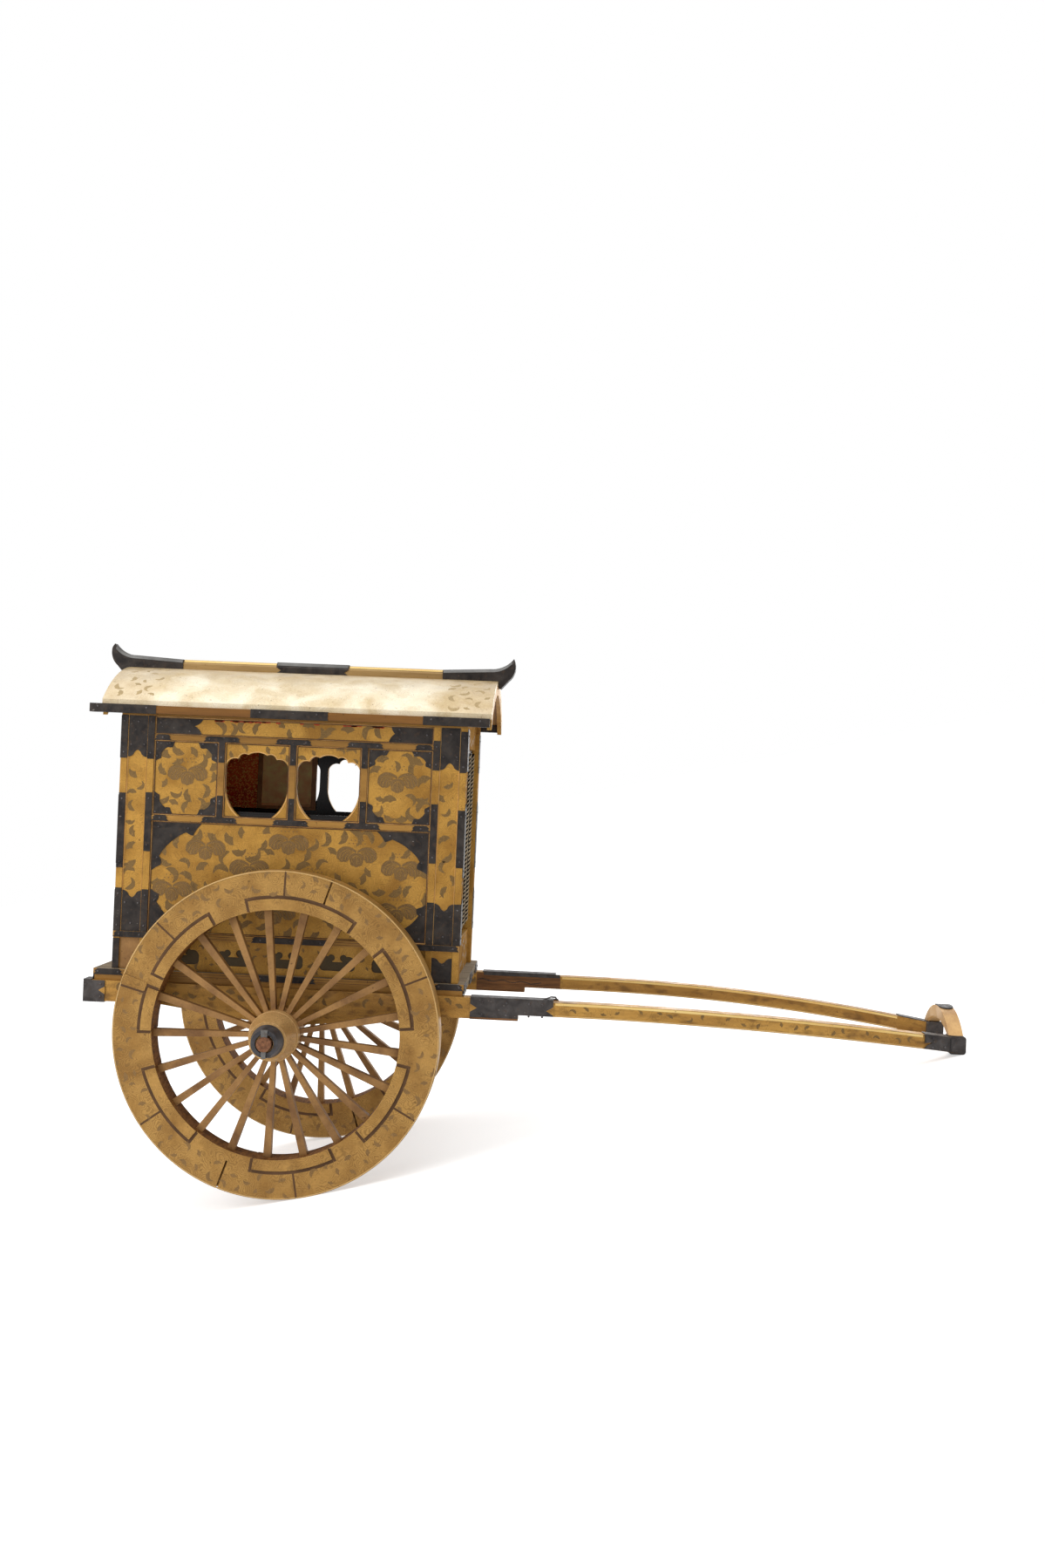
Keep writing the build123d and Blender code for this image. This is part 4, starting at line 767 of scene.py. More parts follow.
def add_crest(ground, veins, place, at, size=1.0):
    """Two wings and a middle leaf with combed veins, and rows of buds above."""
    for hand in (-1, 1):
        scale = (hand * size, size)
        add_plate(ground, moved(WING, at, scale), place, SUNK, 0.12)
        for end, bulge in WING_VEINS:
            vein = trace((1.2, 3.6), (end, bulge), steps=8)
            add_ribbon(veins, moved(vein, at, scale), 0.42 * size, place, 0.06, 0.05)
        add_ribbon(veins, moved(WING[:-4], at, scale), 0.36 * size, place, 0.04, 0.07)
    add_plate(ground, moved(MIDDLE_LEAF, at, (size, size)), place, SUNK, 0.18)
    for end, bulge in MIDDLE_VEINS:
        vein = trace((0, 1.6), (end, bulge), steps=6)
        add_ribbon(veins, moved(vein, at, (size, size)), 0.34 * size, place, 0.12, 0.05)
    for u, v in CREST_DOTS:
        dot = [(0.55 * math.cos(k * math.pi / 3), 0.55 * math.sin(k * math.pi / 3)) for k in range(6)]
        spot = (at[0] + u * size, at[1] + v * size)
        add_plate(ground, moved(dot, spot, (size, size)), place, SUNK, 0.12)


def leaf_outline(fat, sweep, lobes, steps=13):
    """Curled leaf of unit radius: a thin tail that swells into a scalloped head."""
    outer, inner = [], []
    for i in range(steps + 1):
        t = i / steps
        angle = sweep * (t - 0.5)
        width = fat * math.sin(math.pi * t ** 0.7) ** 0.7
        edge = 1.0 + 0.10 * abs(math.sin(lobes * math.pi * t)) * math.sin(math.pi * t)
        outer.append((edge * math.cos(angle), edge * math.sin(angle)))
        inner.append(((1 - width) * math.cos(angle), (1 - width) * math.sin(angle)))
    return outer + inner[-2:0:-1]


LEAVES = [leaf_outline(0.95, 2.9, 4), leaf_outline(0.75, 3.5, 5), leaf_outline(1.1, 2.2, 3)]
rng = random.Random(7)


def scatter(area, blocked, gap, tries):
    """Random places inside a rectangle, at least gap apart and clear of blocked ovals."""
    found = []
    for _ in range(tries):
        u, v = rng.uniform(*area[0]), rng.uniform(*area[1])
        if any(((u - a) / ru) ** 2 + ((v - b) / rv) ** 2 < 1 for a, b, ru, rv in blocked):
            continue
        if all(math.hypot(u - a, v - b) > gap for a, b in found):
            found.append((u, v))
    return found


def add_leaves(bm, place, spots, size):
    """A curled leaf at each spot, at slightly different heights where two might overlap."""
    for index, (u, v) in enumerate(spots):
        radius = size * rng.uniform(0.8, 1.25)
        leaf = rng.choice(LEAVES)
        scale = (radius, radius * rng.choice((-1, 1)))
        outline = moved(leaf, (u, v), scale, rng.uniform(0, 2 * math.pi))
        add_plate(bm, outline, place, SUNK, 0.058 + 0.007 * (index % 7))


LOWER_CRESTS = [
    (-65.1, 252.4), (-2.0, 258.9), (50.0, 251.9), (84.0, 242.9), (-89.5, 220.1), (82.1, 210.6),
    (-31.2, 238.5), (-55.0, 214.0), (18.0, 229.0), (-10.0, 206.0), (45.0, 211.0),
]
UPPER_CRESTS = [(-81.2, 308.3), (78.6, 309.1)]
crest_ground, crest_veins, soft_leaves = new_meshes(3)
for side, _ in SIDES:
    panel = side_face(side, PANEL_Y)
    sunk = side_face(side, POST_SUNK_Y)
    for at in LOWER_CRESTS + UPPER_CRESTS:
        add_crest(crest_ground, crest_veins, panel, at)
    rooms = [(u, v + 1.5, 17.5, 10.5) for u, v in LOWER_CRESTS + UPPER_CRESTS]
    area = ((REAR_X + 5, FRONT_X - 5), (SILL_TOP + 5, WAIST_Z - 5))
    add_leaves(soft_leaves, panel, scatter(area, rooms, 9.6, 3200), 5.4)
    for bay in (rear_bay, front_bay):
        area = ((bay[0].x + 5, bay[1].x - 5), (WAIST_TOP + 5, HEAD_Z - 5))
        add_leaves(soft_leaves, panel, scatter(area, rooms, 8.2, 900), 5.2)
    area = ((-66, 66), (HEAD_TOP + 4.6, FRIEZE_TOP - 4.6))
    add_leaves(soft_leaves, panel, scatter(area, [], 8.8, 700), 5.0)
    for window in (rear_window, front_window):
        area = ((window[0].x + 3.6, window[1].x - 3.6), (WAIST_TOP + 3.6, HEAD_Z - 3.6))
        hole = [((window[0].x + window[1].x) / 2, WAIST_TOP + 24, 27.5, 30.5)]
        add_leaves(soft_leaves, panel, scatter(area, hole, 7.0, 900), 3.2)
    for post in (REAR_POST, FRONT_POST):
        area = ((post[0] + 4, post[1] - 4), (224.0, 317.0))
        add_leaves(soft_leaves, sunk, scatter(area, [], 8.4, 700), 4.4)
    area = ((REAR_X + 4, FRONT_X - 4), (FLOOR_Z + 3, SILL_Z - 3))
    clouds = [(-1.1 + 39.6 * k, 171.0, 16.5, 11.0) for k in (-2, -1, 0, 1, 2)]
    add_leaves(soft_leaves, side_face(side, SKIRT_Y), scatter(area, clouds, 7.0, 700), 2.3)
make("crest_leaves", crest_ground, LEAF)
make("crest_veins", crest_veins, GOLD_PANEL)
make("curled_leaves", soft_leaves, LEAF_SOFT)

# Leaves at the ends of the roof and all over the faces of the wheels
roof_low, roof_high = span("roof")
ROOF_EDGE_Y = 76.0
roof_edges = [span("roof", lambda p: p.y * side > ROOF_EDGE_Y - 0.5)[1].z for side, _ in SIDES]


def circle_through(a, b, c):
    """Centre and radius of the circle through three points."""
    d = 2 * (a[0] * (b[1] - c[1]) + b[0] * (c[1] - a[1]) + c[0] * (a[1] - b[1]))
    sa, sb, sc = (p[0] ** 2 + p[1] ** 2 for p in (a, b, c))
    x = (sa * (b[1] - c[1]) + sb * (c[1] - a[1]) + sc * (a[1] - b[1])) / d
    y = (sa * (c[0] - b[0]) + sb * (a[0] - c[0]) + sc * (b[0] - a[0])) / d
    return x, y, math.hypot(a[0] - x, a[1] - y)


ROOF_Y, ROOF_Z, ROOF_R = circle_through(
    (-ROOF_EDGE_Y, roof_edges[0]), (0.0, roof_high.z), (ROOF_EDGE_Y, roof_edges[1])
)


def on_roof(u, v, lift):
    """Place on the arched roof, v millimetres round from its top."""
    angle = v / ROOF_R
    reach = ROOF_R + lift
    return Vector((u, ROOF_Y + reach * math.sin(angle), ROOF_Z + reach * math.cos(angle)))


roof_leaves = bmesh.new()
for side, _ in SIDES:
    for u in ((roof_low.x + 6, -110.0), (116.0, roof_high.x - 6)):
        area = (u, sorted((side * 16.0, side * 78.0)))
        add_leaves(roof_leaves, on_roof, scatter(area, [], 9.5, 700), 3.6)
make("roof_leaves", roof_leaves, LEAF_ROOF)

for side, side_name in SIDES:
    wheel_leaves = bmesh.new()
    spots = []
    for _ in range(3000):
        angle, reach = rng.uniform(0, 2 * math.pi), rng.uniform(104.5, 118.0)
        spot = (reach * math.cos(angle), WHEEL_R + reach * math.sin(angle))
        if all(math.dist(spot, other) > 9.0 for other in spots):
            spots.append(spot)
    for place in (side_face(side, RIM_FACE_Y), inner_face(side, RIM_BACK_Y)):
        add_leaves(wheel_leaves, place, spots, 3.0)
    make(f"rim_leaves_{side_name}", wheel_leaves, LEAF_WHEEL, f"wheel_{side_name}")


# Thin bright beads round the panels and windows, and fine lines along the rails
def window_edge(window):
    """The edge of a window on the outer face of its panel, as a list of points in turn."""
    found = set()
    for vertex in nodes["window_panels_left"].data.vertices:
        point = BODY_BACK @ vertex.co
        inside = all(window[0][i] + 0.5 < point[i] < window[1][i] - 0.5 for i in (0, 2))
        if inside and point.y > PANEL_Y - 0.05:
            found.add((round(point.x, 2), round(point.z, 2)))
    u = (window[0].x + window[1].x) / 2
    v = window[0].z + 24.0
    return sorted(found, key=lambda p: math.atan2(p[1] - v, p[0] - u))


def frame_lines(bm, place, u, v, inset, width, thick, lift=0.0):
    """Four ridges just inside a rectangle."""
    u0, u1, v0, v1 = u[0] + inset, u[1] - inset, v[0] + inset, v[1] - inset
    for line in (((u0, v0), (u1, v0)), ((u0, v1), (u1, v1)), ((u0, v0), (u0, v1)), ((u1, v0), (u1, v1))):
        add_ribbon(bm, line, width, place, lift, thick)


beads, dark_lines = new_meshes(2)
for side, _ in SIDES:
    panel = side_face(side, PANEL_Y)
    framed = [((REAR_X, FRONT_X), v) for v in ((SILL_TOP, WAIST_Z), (HEAD_TOP, FRIEZE_TOP))]
    framed += [((bay[0].x, bay[1].x), (WAIST_TOP, HEAD_Z)) for bay in BAYS]
    for u, v in framed:
        frame_lines(dark_lines, panel, u, v, 1.0, 0.7, 0.12, 0.42)
        frame_lines(beads, panel, u, v, 0.4, 0.8, 1.0)
    for post in (REAR_POST, FRONT_POST):
        for u in (post[0] + 0.35, post[1] - 0.35):
            add_ribbon(beads, [(u, SILL_TOP), (u, FRIEZE_TOP)], 0.7, side_face(side, POST_SUNK_Y), 0.0, 0.95)
    for window in (rear_window, front_window):
        edge = window_edge(window)
        centre = (sum(p[0] for p in edge) / len(edge), sum(p[1] for p in edge) / len(edge))
        ring = [(centre[0] + 1.03 * (u - centre[0]), centre[1] + 1.03 * (v - centre[1])) for u, v in edge]
        add_ribbon(beads, ring + ring[:1], 0.8, panel, 0.0, 0.45)
    for place, ends, heights in (
        (side_face(side, SILL_Y), (REAR_END, FRONT_END), (SILL_Z + 1.3, SILL_TOP - 1.3)),
        (side_face(side, platform_high.y), (platform_low.x, platform_high.x), (157.0, 159.0)),
    ):
        for v in heights:
            add_ribbon(dark_lines, [(ends[0] + 1, v), (ends[1] - 1, v)], 0.35, place, 0.0, 0.06)
make("panel_beads", beads, BEAD)
make("fine_lines", dark_lines, GROOVE)

# Flaked edge of the friezes, worn corners under the sill, and leaves on shafts and ends
FLAKES_LOW, FLAKES_TOP = 350.9, 351.3
flakes, bare, outer_strips, more_leaves, end_crests, end_veins = new_meshes(6)
for side, _ in SIDES:
    for _ in range(26):
        u = rng.uniform(-66, 64)
        length, drop = rng.uniform(1.5, 8), rng.uniform(0.5, 1.3)
        ragged = [(u + length * k / 5, FLAKES_LOW - drop * rng.uniform(0.3, 1.0)) for k in range(6)]
        outline = ragged + [(u + length, FLAKES_TOP), (u, FLAKES_TOP)]
        add_plate(flakes, outline, side_face(side, PANEL_Y), SUNK, 0.09)
    patch = rectangle((REAR_POST[0] + 0.4, REAR_POST[1] - 0.4), (FLOOR_Z + 0.4, SILL_Z - 0.4))
    add_plate(bare, patch, side_face(side, POST_SUNK_Y), SUNK, 0.1)
    strip = rectangle((REAR_END, REAR_END + MOULDING), (FLOOR_Z + 0.2, SILL_Z - 1.0))
    add_mount(outer_strips, side_face(side, LATTICE_Y), strip)
    spots = scatter(((-128, 136), (140.5, 147.5)), [], 9.5, 700)
    add_leaves(more_leaves, side_face(side, SHAFT_OUT_Y), spots, 3.4)
    add_leaves(more_leaves, inner_face(side, SHAFT_IN_Y), spots, 3.0)
gable_low, gable_high = span("gables")
for hand, gable_x, post_x in ((-1, gable_low.x, REAR_END), (1, gable_high.x, FRONT_END)):
    face = end_face(hand, gable_x)
    for at, size in (((0.0, 364.0), 1.15), ((-33, 360.5), 0.7), ((33, 360.5), 0.7)):
        add_crest(end_crests, end_veins, face, at, size)
    for area, tries in ((((-50, 50), (342.5, 349.0)), 400), (((-54, 54), (164.5, 184.5)), 700)):
        add_leaves(more_leaves, face, scatter(area, [], 9.5, tries), 3.4)
    for side, _ in SIDES:
        area = (sorted((side * 60, side * 70)), (224.0, 317.0))
        spots = scatter(area, [(side * 65, 266, 9, 29)], 9.0, 300)
        add_leaves(more_leaves, end_face(hand, post_x), spots, 2.8)
make("flaked_lacquer", flakes, RED_GROUND)
make("bare_corners", bare, GOLD_SPOKE)
make("corner_strips", outer_strips, IRON)
make("more_leaves", more_leaves, LEAF_SOFT)
make("end_crests", end_crests, LEAF)
make("end_crest_veins", end_veins, GOLD_PANEL)

# Twisted bindings down the blinds: a dark tape and leaning dark strands that are painted shade, with leaning
# pale strands that are painted highlights
STRAND_PITCH = 3.4
cord_shade, cord_highlights = new_meshes(2)
blind_low, blind_high = span("blind_front")
for hand, blind_x in ((1, blind_high.x), (-1, span("blind_rear")[0].x)):
    face = end_face(hand, blind_x)
    leaning = lambda u, v, lift: face(u, v + 1.1 * lift, lift)
    for middle in (-54.0, -19.0, 19.0, 54.0):
        tape = rectangle((middle - 1.6, middle + 1.6), (blind_low.z + 0.5, blind_high.z - 0.5))
        add_plate(cord_shade, tape, face, SUNK, 0.5)
        v = blind_low.z + 1.5
        while v < blind_high.z - 6.5:
            left, right = middle - 1.5, middle + 1.5
            strand = [(left, v), (right, v + 1.2), (right, v + 2.9), (left, v + 1.7)]
            add_plate(cord_highlights, strand, leaning, 0.3, 1.9)
            add_plate(cord_shade, [(a, b + STRAND_PITCH / 2) for a, b in strand], leaning, 0.3, 1.6)
            v += STRAND_PITCH
make("blind_cord_shade", cord_shade, BLACK)
make("blind_cord_highlights", cord_highlights, CORD_HIGHLIGHT)

# Frames and sill strips on the inner faces of the sliding shutters
BAR = 4
for side, side_name in SIDES:
    low, high = span(f"shutter_{side_name}")
    place = inner_face(side, min(abs(low.y), abs(high.y)))
    bars, strip = new_meshes(2)
    for u, v in (
        ((low.x, high.x), (low.z, low.z + BAR)),
        ((low.x, high.x), (high.z - BAR, high.z)),
        ((low.x, low.x + BAR), (low.z + BAR, high.z - BAR)),
        ((high.x - BAR, high.x), (low.z + BAR, high.z - BAR)),
    ):
        add_plate(bars, rectangle(u, v), place, SUNK, 0.45)
    sill_strip = rectangle((low.x + BAR, high.x - BAR), (low.z + BAR, low.z + BAR + 2))
    add_plate(strip, sill_strip, place, SUNK, 0.3)
    for name, bm, finish in (("frame", bars, SHUTTER_FRAME), ("strip", strip, BEAD)):
        make(f"shutter_{name}_{side_name}", bm, finish, f"shutter_{side_name}")

# Dark open lines round the small felloes and across the rims, and the rims' pale edges, partly wear and
# partly a painted highlight
SMALL_FELLOE_SPANS = (
    (-13.9, 32.6), (49.9, 84.1), (101.6, 136.6), (152.6, 187.6), (217.1, 252.2), (269.4, 287.8),
    (294.4, 328.0),
)
FELLOE_JOINT_ANGLES = (1.4, 66.5, 118.8, 170.2, 233.9, 285.2, 310.8)
BLOCK_ANGLES, BLOCK_REACH = (286.0, 289.4), (101.8, 120.4)


def on_wheel(side, degrees, reach):
    """Place on a wheel's face, clockwise from the top as its outer face is seen."""
    angle = math.radians(90 + side * degrees)
    return reach * math.cos(angle), WHEEL_R + reach * math.sin(angle)


for side, side_name in SIDES:
    wheel = f"wheel_{side_name}"
    faces = (side_face(side, RIM_FACE_Y), inner_face(side, RIM_BACK_Y))
    lines, edges = new_meshes(2)
    for place in faces:
        for start, end in SMALL_FELLOE_SPANS:
            arc = [on_wheel(side, start + (end - start) * k / 12, 101.3) for k in range(13)]
            add_ribbon(lines, arc, 2.6, place, 0.0, 0.05)
            for angle in (start - 0.7, end + 0.7):
                line = [on_wheel(side, angle, 92.2), on_wheel(side, angle, 102.5)]
                add_ribbon(lines, line, 2.2, place, 0.0, 0.05)
        for angle in FELLOE_JOINT_ANGLES:
            line = [on_wheel(side, angle, 101.4), on_wheel(side, angle, 120.6)]
            add_ribbon(lines, line, 1.5, place, 0.0, 0.05)
    make(f"rim_joint_lines_{side_name}", lines, GROOVE, wheel)
    if side_name == "right":
        block = bmesh.new()
        spots = rectangle(BLOCK_REACH, BLOCK_ANGLES)
        outline = [on_wheel(side, degrees, reach) for reach, degrees in spots]
        add_plate(block, outline, faces[0], SUNK, 0.75)
        make("rim_block_right", block, GOLD_WHEEL, wheel)
    # Pale rings at the rims' outer edges: partly wear, partly painted highlight
    circle = [on_wheel(side, 4 * k, RIM_R - 0.6) for k in range(91)]
    for place in faces:
        add_ribbon(edges, circle, 1.0, place, -0.02, 0.1)
    make(f"rim_rubbed_highlights_{side_name}", edges, GOLD_RUBBED_HIGHLIGHT, wheel)

# Nails and gold tongues on the caps and sleeves of the shafts
NAIL_SPREAD = 4.6
tongues, cap_nails = new_meshes(2)
tail_high = span("tail_caps")[1]
middle = (sleeve_low.z + sleeve_high.z) / 2
for side, _ in SIDES:
    outer = side_face(side, sleeve_high.y)
    tail = side_face(side, tail_high.y)
    for place, root, tip, half in (
        (outer, sleeve_low.x - 0.4, sleeve_low.x + 5.0, 3.2),
        (outer, sleeve_high.x + 0.4, sleeve_high.x - 5.0, 3.2),
        (tail, tail_high.x + 0.4, tail_high.x - 4.6, 3.0),
    ):
        tongue = [(root, middle - half), (tip, middle), (root, middle + half)]
        add_plate(tongues, tongue, place, SUNK, 0.12)
    for place, u in (
        (outer, sleeve_low.x + 9), (outer, sleeve_low.x + 27), (outer, sleeve_low.x + 44),
        (outer, sleeve_high.x - 8), (tail, tail_high.x - 3.0),
    ):
        for dv in (-NAIL_SPREAD, NAIL_SPREAD):
            add_nail(cap_nails, place, u, middle + dv, 0.0)
make("cap_tongues", tongues, GOLD_SHAFT)
make("cap_nails", cap_nails, NAIL, smooth=True)


# Poles: plates at the tips, leaves along the sides, found by casting rays at the bent poles
def caster(name):
    """Ray casting against a CAD node, in the carriage's frame."""
    mesh = nodes[name].data
    points = [BODY_BACK @ vertex.co for vertex in mesh.vertices]
    return bvhtree.BVHTree.FromPolygons(points, [list(polygon.vertices) for polygon in mesh.polygons])


# Where rays start, clear of the carriage
ABOVE, BESIDE = 600, 200


def cast_top(tree, u, y):
    """Height of the top at a place seen from above."""
    return tree.ray_cast(Vector((u, y, ABOVE)), Vector((0, 0, -1)))[0].z


def cast_side(tree, u, z, out, lift):
    """Point that far off the side at a place seen from the right or the left."""
    found = tree.ray_cast(Vector((u, out * BESIDE, z)), Vector((0, -out, 0)))[0]
    return found + Vector((0, out * lift, 0))


def bar_side(tree, inside, out):
    """Side of a bar: u along the carriage, v from 0 at its foot to 1 at its top."""
    def place(u, v, lift):
        y = inside(u)
        top = cast_top(tree, u, y)
        foot = tree.ray_cast(Vector((u, y, 0)), Vector((0, 0, 1)))[0].z
        return cast_side(tree, u, foot + (top - foot) * v, out, lift)
    return place


def top_edge(tree, out):
    """Side of a bar near its top: u along the carriage, v in mm from the top's middle line."""
    return lambda u, v, lift: cast_side(tree, u, cast_top(tree, u, 0) + v, out, lift)


# Middle line of a pole, level as far as its bend, and a depth that is inside its wood
POLE_Z, POLE_BEND_X, POLE_DROP = 145.0, 222, 0.052
POLE_DEPTH = 3.0


def within_pole(tree, side):
    """Gives, for each place along a pole, how far from the middle of the carriage its wood is."""
    def inside(u):
        start = Vector((u, side * BESIDE, POLE_Z - POLE_DROP * max(u - POLE_BEND_X, 0)))
        return tree.ray_cast(start, Vector((0, -side, 0)))[0].y - side * POLE_DEPTH
    return inside


TIP_X = 484.0
KNOB_X = 506.6
POLE_RISE = 12.5
SHAFT_FOOT_Z, BARE_FOOT_Z = 136.5, 137.5
pole_top_highlights, pole_foot_highlights, tip_plates, tip_nails, pole_leaves, wood_faces, crack_and_knob_shade = new_meshes(7)
for side, side_name in SIDES:
    tree = caster(f"shaft_{side_name}")
    inside = within_pole(tree, side)
    place = bar_side(tree, inside, side)
    # Painted highlights: pale bands along the upper and the lower edge of each pole's sides
    for side_of_bar, start in ((place, 204.5), (bar_side(tree, inside, -side), 208.5)):
        add_band(pole_top_highlights, side_of_bar, (start, TIP_X), (0.80, 0.96), 0.08)
        add_band(pole_foot_highlights, side_of_bar, (start, TIP_X), (0.03, 0.10), 0.08)
    rear = [(485.0, 0.02), (487.2, 0.26), (491.6, 0.5), (487.2, 0.76), (484.4, 0.98)]
    pole_end = span(f"shaft_{side_name}")[1].x - 1.0
    front = [(495.0, 0.98), (pole_end, 0.98), (pole_end, 0.02), (495.0, 0.02)]
    add_plate(tip_plates, rear + front, place, 0.0, 0.85)
    for u, v in ((492.0, 0.16), (492.0, 0.84), (502.0, 0.3)):
        add_nail(tip_nails, lambda a, b, lift: place(a, b / 9.0, lift), u, v * 9.0, 0.85)
    for u in range(214, 478, 13):
        spot = (u + rng.uniform(-4, 4), rng.uniform(0.3, 0.65))
        outline = moved(rng.choice(LEAVES), (0, 0), (2.6, 2.6), rng.uniform(0, 2 * math.pi))
        leaf = [(spot[0] + a, spot[1] + b / POLE_RISE) for a, b in outline]
        add_plate(pole_leaves, leaf, place, -0.04, 0.09)
    inner = inner_face(side, SHAFT_IN_Y)
    wood = [
        (136.0, SHAFT_FOOT_Z), (176.8, SHAFT_FOOT_Z), (176.8, 140.5), (207.0, 140.5), (207.0, 151.4),
        (136.0, 151.4),
    ]
    add_plate(wood_faces, wood, inner, SUNK, 0.13)
    add_plate(tip_plates, rectangle((142.0, 206.5), (149.4, 152.3)), inner, 0.06, 0.3)
    # Dark line at the knob's rear edge: painted shadow of the knob; the next lines add a real crack
    add_ribbon(crack_and_knob_shade, [(KNOB_X, 0.04), (KNOB_X, 0.96)], 1.3, place, 0.8, 0.12)
    crack = [(137 + 4.5 * k, 145.5 - 1.6 * k / 12 + 0.9 * math.sin(1.7 * k)) for k in range(13)]
    add_ribbon(crack_and_knob_shade, crack, 0.7, inner, 0.07, 0.06)
    foot = rectangle((sleeve_low.x, sleeve_low.x + 35.8), (136.0, BARE_FOOT_Z))
    add_plate(wood_faces, foot, side_face(side, sleeve_high.y), SUNK, 0.13)
make("pole_plates", tip_plates, SHAFT_IRON)
make("pole_top_highlights", pole_top_highlights, GOLD_HIGHLIGHT)
make("pole_foot_highlights", pole_foot_highlights, GOLD_RUBBED_HIGHLIGHT)
make("tip_nails", tip_nails, NAIL, smooth=True)
make("pole_leaves", pole_leaves, LEAF_SOFT)
make("shaft_wood", wood_faces, BROWN_WOOD)
make("shaft_crack_and_knob_shade", crack_and_knob_shade, BLACK)

# The lifted corner of the right sleeve's plate
curl, ridge_highlights, horn_highlights = new_meshes(3)
lifted = [(194.0, 152.3), (198.0, 153.6), (201.5, 155.0), (204.6, 154.8), (205.8, 153.2)]
add_plate(curl, lifted + [(u - 0.5, v - 0.7) for u, v in reversed(lifted)], side_face(-1, 73.5), 0.0, 4.5)
make("lifted_corner", curl, SHAFT_IRON)

# Painted highlights along the upper edges of the ridge and its horns, in narrow rows that follow the bevels
RIDGE_ROWS = (-1.9, -1.35, -0.8, -0.25)
HORN_ROWS = (-2.7, -2.1, -1.5, -0.9, -0.3)
rear_horn = span("ridge_horns", lambda p: p.x < 0)
front_horn = span("ridge_horns", lambda p: p.x > 0)
mid_cap = span("ridge_mid_cap")
for name, bm, rows, stretches in (
    ("ridge_beam", ridge_highlights, RIDGE_ROWS, (
        (rear_horn[1].x + 0.4, mid_cap[0].x - 0.4), (mid_cap[1].x + 0.4, front_horn[0].x - 0.4),
    )),
    ("ridge_horns", horn_highlights, HORN_ROWS, (
        (rear_horn[0].x + 3, rear_horn[1].x - 0.5), (front_horn[0].x + 0.5, front_horn[1].x - 3),
    )),
    ("ridge_mid_cap", horn_highlights, HORN_ROWS, ((mid_cap[0].x + 0.5, mid_cap[1].x - 0.5),)),
):
    tree = caster(name)
    for out in (-1, 1):
        for ends in stretches:
            for row in zip(rows, rows[1:]):
                add_band(bm, top_edge(tree, out), ends, row, 0.22, 2.0)
make("ridge_highlights", ridge_highlights, GOLD_HIGHLIGHT)
make("horn_highlights", horn_highlights, IRON_HIGHLIGHT)


# Camera: the photograph's view, with the carriage nose down by only 2.4 degrees. The stored
# carriage leans further, onto the tips of its shafts, so the camera is turned with it.
PHOTO_PITCH = math.radians(2.4)
CAMERA_AT = Vector((219.0, -1161.4, 305.3 - WHEEL_R)) * MM
CAMERA_YAW = math.radians(2.01)
FOCAL_PX = 1666.0
PHOTO_HEIGHT = 1799
lean = Matrix.Rotation(PARK_PITCH - PHOTO_PITCH, 3, "Y")
view_right = lean @ Vector((math.cos(CAMERA_YAW), math.sin(CAMERA_YAW), 0))
view_up = lean @ Vector((0, 0, 1))
view_back = view_right.cross(view_up)
camera_data = bpy.data.cameras.new("camera")
camera_data.lens = FOCAL_PX * camera_data.sensor_width / PHOTO_HEIGHT
camera_data.clip_start = 0.05
camera_data.clip_end = 100
camera = bpy.data.objects.new("camera", camera_data)
camera.matrix_world = (
    Matrix.Translation(AXLE + lean @ CAMERA_AT)
    @ Matrix((view_right, view_up, view_back)).transposed().to_4x4()
)
bpy.context.scene.collection.objects.link(camera)
bpy.context.scene.camera = camera
bpy.context.scene.view_settings.view_transform = "Standard"

# Studio: a white floor that keeps the shadow, a white world, a broad sun and two soft lamps
WHITE = (1, 1, 1, 1)
FLOOR_GREY = (0.8, 0.8, 0.8, 1)
FLOOR_HALF = 30.0
LAMP_AIM = Vector((0.0, 0.0, 0.12))


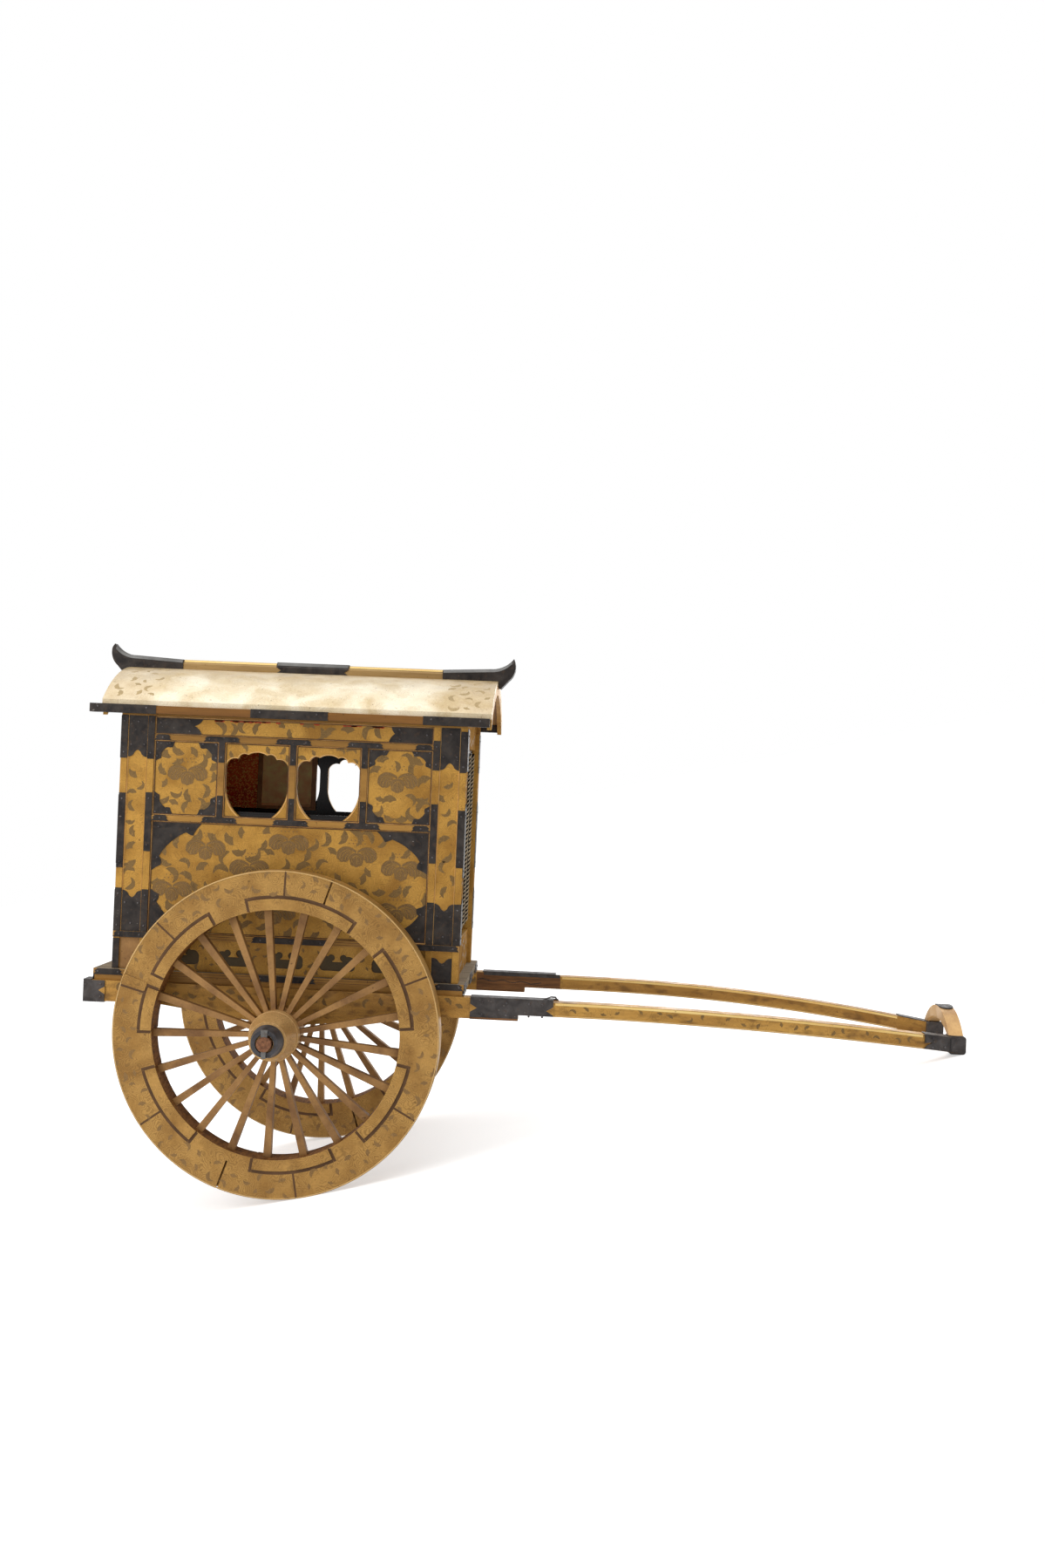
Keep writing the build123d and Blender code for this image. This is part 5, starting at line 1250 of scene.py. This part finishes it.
def make_floor():
    """Grey floor that glows a little where the camera and the mirrors see it."""
    material = bpy.data.materials.new("floor_white")
    material.use_nodes = True
    tree = material.node_tree
    tree.nodes.clear()
    path = add_node(tree, "LightPath", {}).outputs
    rays = {0: path["Is Camera Ray"], 1: path["Is Glossy Ray"]}
    seen = add_node(tree, "Math", rays, operation="MAXIMUM").outputs[0]
    strength = add_node(tree, "Math", {0: seen, 1: 0.5}, operation="MULTIPLY").outputs[0]
    diffuse = add_node(tree, "BsdfDiffuse", {"Color": FLOOR_GREY}).outputs[0]
    glow = add_node(tree, "Emission", {"Strength": strength}).outputs[0]
    both = add_node(tree, "AddShader", {0: diffuse, 1: glow}).outputs[0]
    add_node(tree, "OutputMaterial", {"Surface": both})
    mesh = bpy.data.meshes.new("studio_floor")
    ends = (-FLOOR_HALF, FLOOR_HALF)
    mesh.from_pydata([(x, y, 0) for x, y in rectangle(ends, ends)], [], [(0, 1, 2, 3)])
    mesh.materials.append(material)
    floor = bpy.data.objects.new("studio_floor", mesh)
    bpy.context.scene.collection.objects.link(floor)


def make_world():
    """White world at half strength, and at full strength where it is seen."""
    world = bpy.data.worlds.new("studio")
    bpy.context.scene.world = world
    world.use_nodes = True
    tree = world.node_tree
    tree.nodes.clear()
    path = add_node(tree, "LightPath", {}).outputs
    rays = {0: path["Is Camera Ray"], 1: path["Is Glossy Ray"]}
    seen = add_node(tree, "Math", rays, operation="MAXIMUM").outputs[0]
    rays = {0: seen, 1: path["Is Transmission Ray"]}
    seen = add_node(tree, "Math", rays, operation="MAXIMUM").outputs[0]
    lit = add_node(tree, "Background", {"Color": WHITE, "Strength": 0.5}).outputs[0]
    white = add_node(tree, "Background", {"Color": WHITE, "Strength": 1.0}).outputs[0]
    mixed = add_node(tree, "MixShader", {0: seen, 1: lit, 2: white}).outputs[0]
    add_node(tree, "OutputWorld", {"Surface": mixed})


def add_lamp(name, kind, energy, toward):
    """Lamp that shines from a direction of the photograph's frame."""
    data = bpy.data.lights.new(name, kind)
    data.energy = energy
    lamp = bpy.data.objects.new(name, data)
    lamp.rotation_euler = (lean @ Vector(toward)).to_track_quat("Z", "Y").to_euler()
    bpy.context.scene.collection.objects.link(lamp)
    return lamp


make_floor()
make_world()
sun = add_lamp("top_light", "SUN", 1.35, (-0.15, -0.1, 1.0))
sun.data.angle = math.radians(80)
for name, place, power in (
    ("left_lamp", (-0.8, -0.55, 0.38), 4.0),
    ("back_lamp", (0.5, 0.9, 0.5), 2.6),
):
    lamp = add_lamp(name, "AREA", power, Vector(place) - LAMP_AIM)
    lamp.data.size = 0.6
    lamp.location = AXLE + lean @ Vector(place)
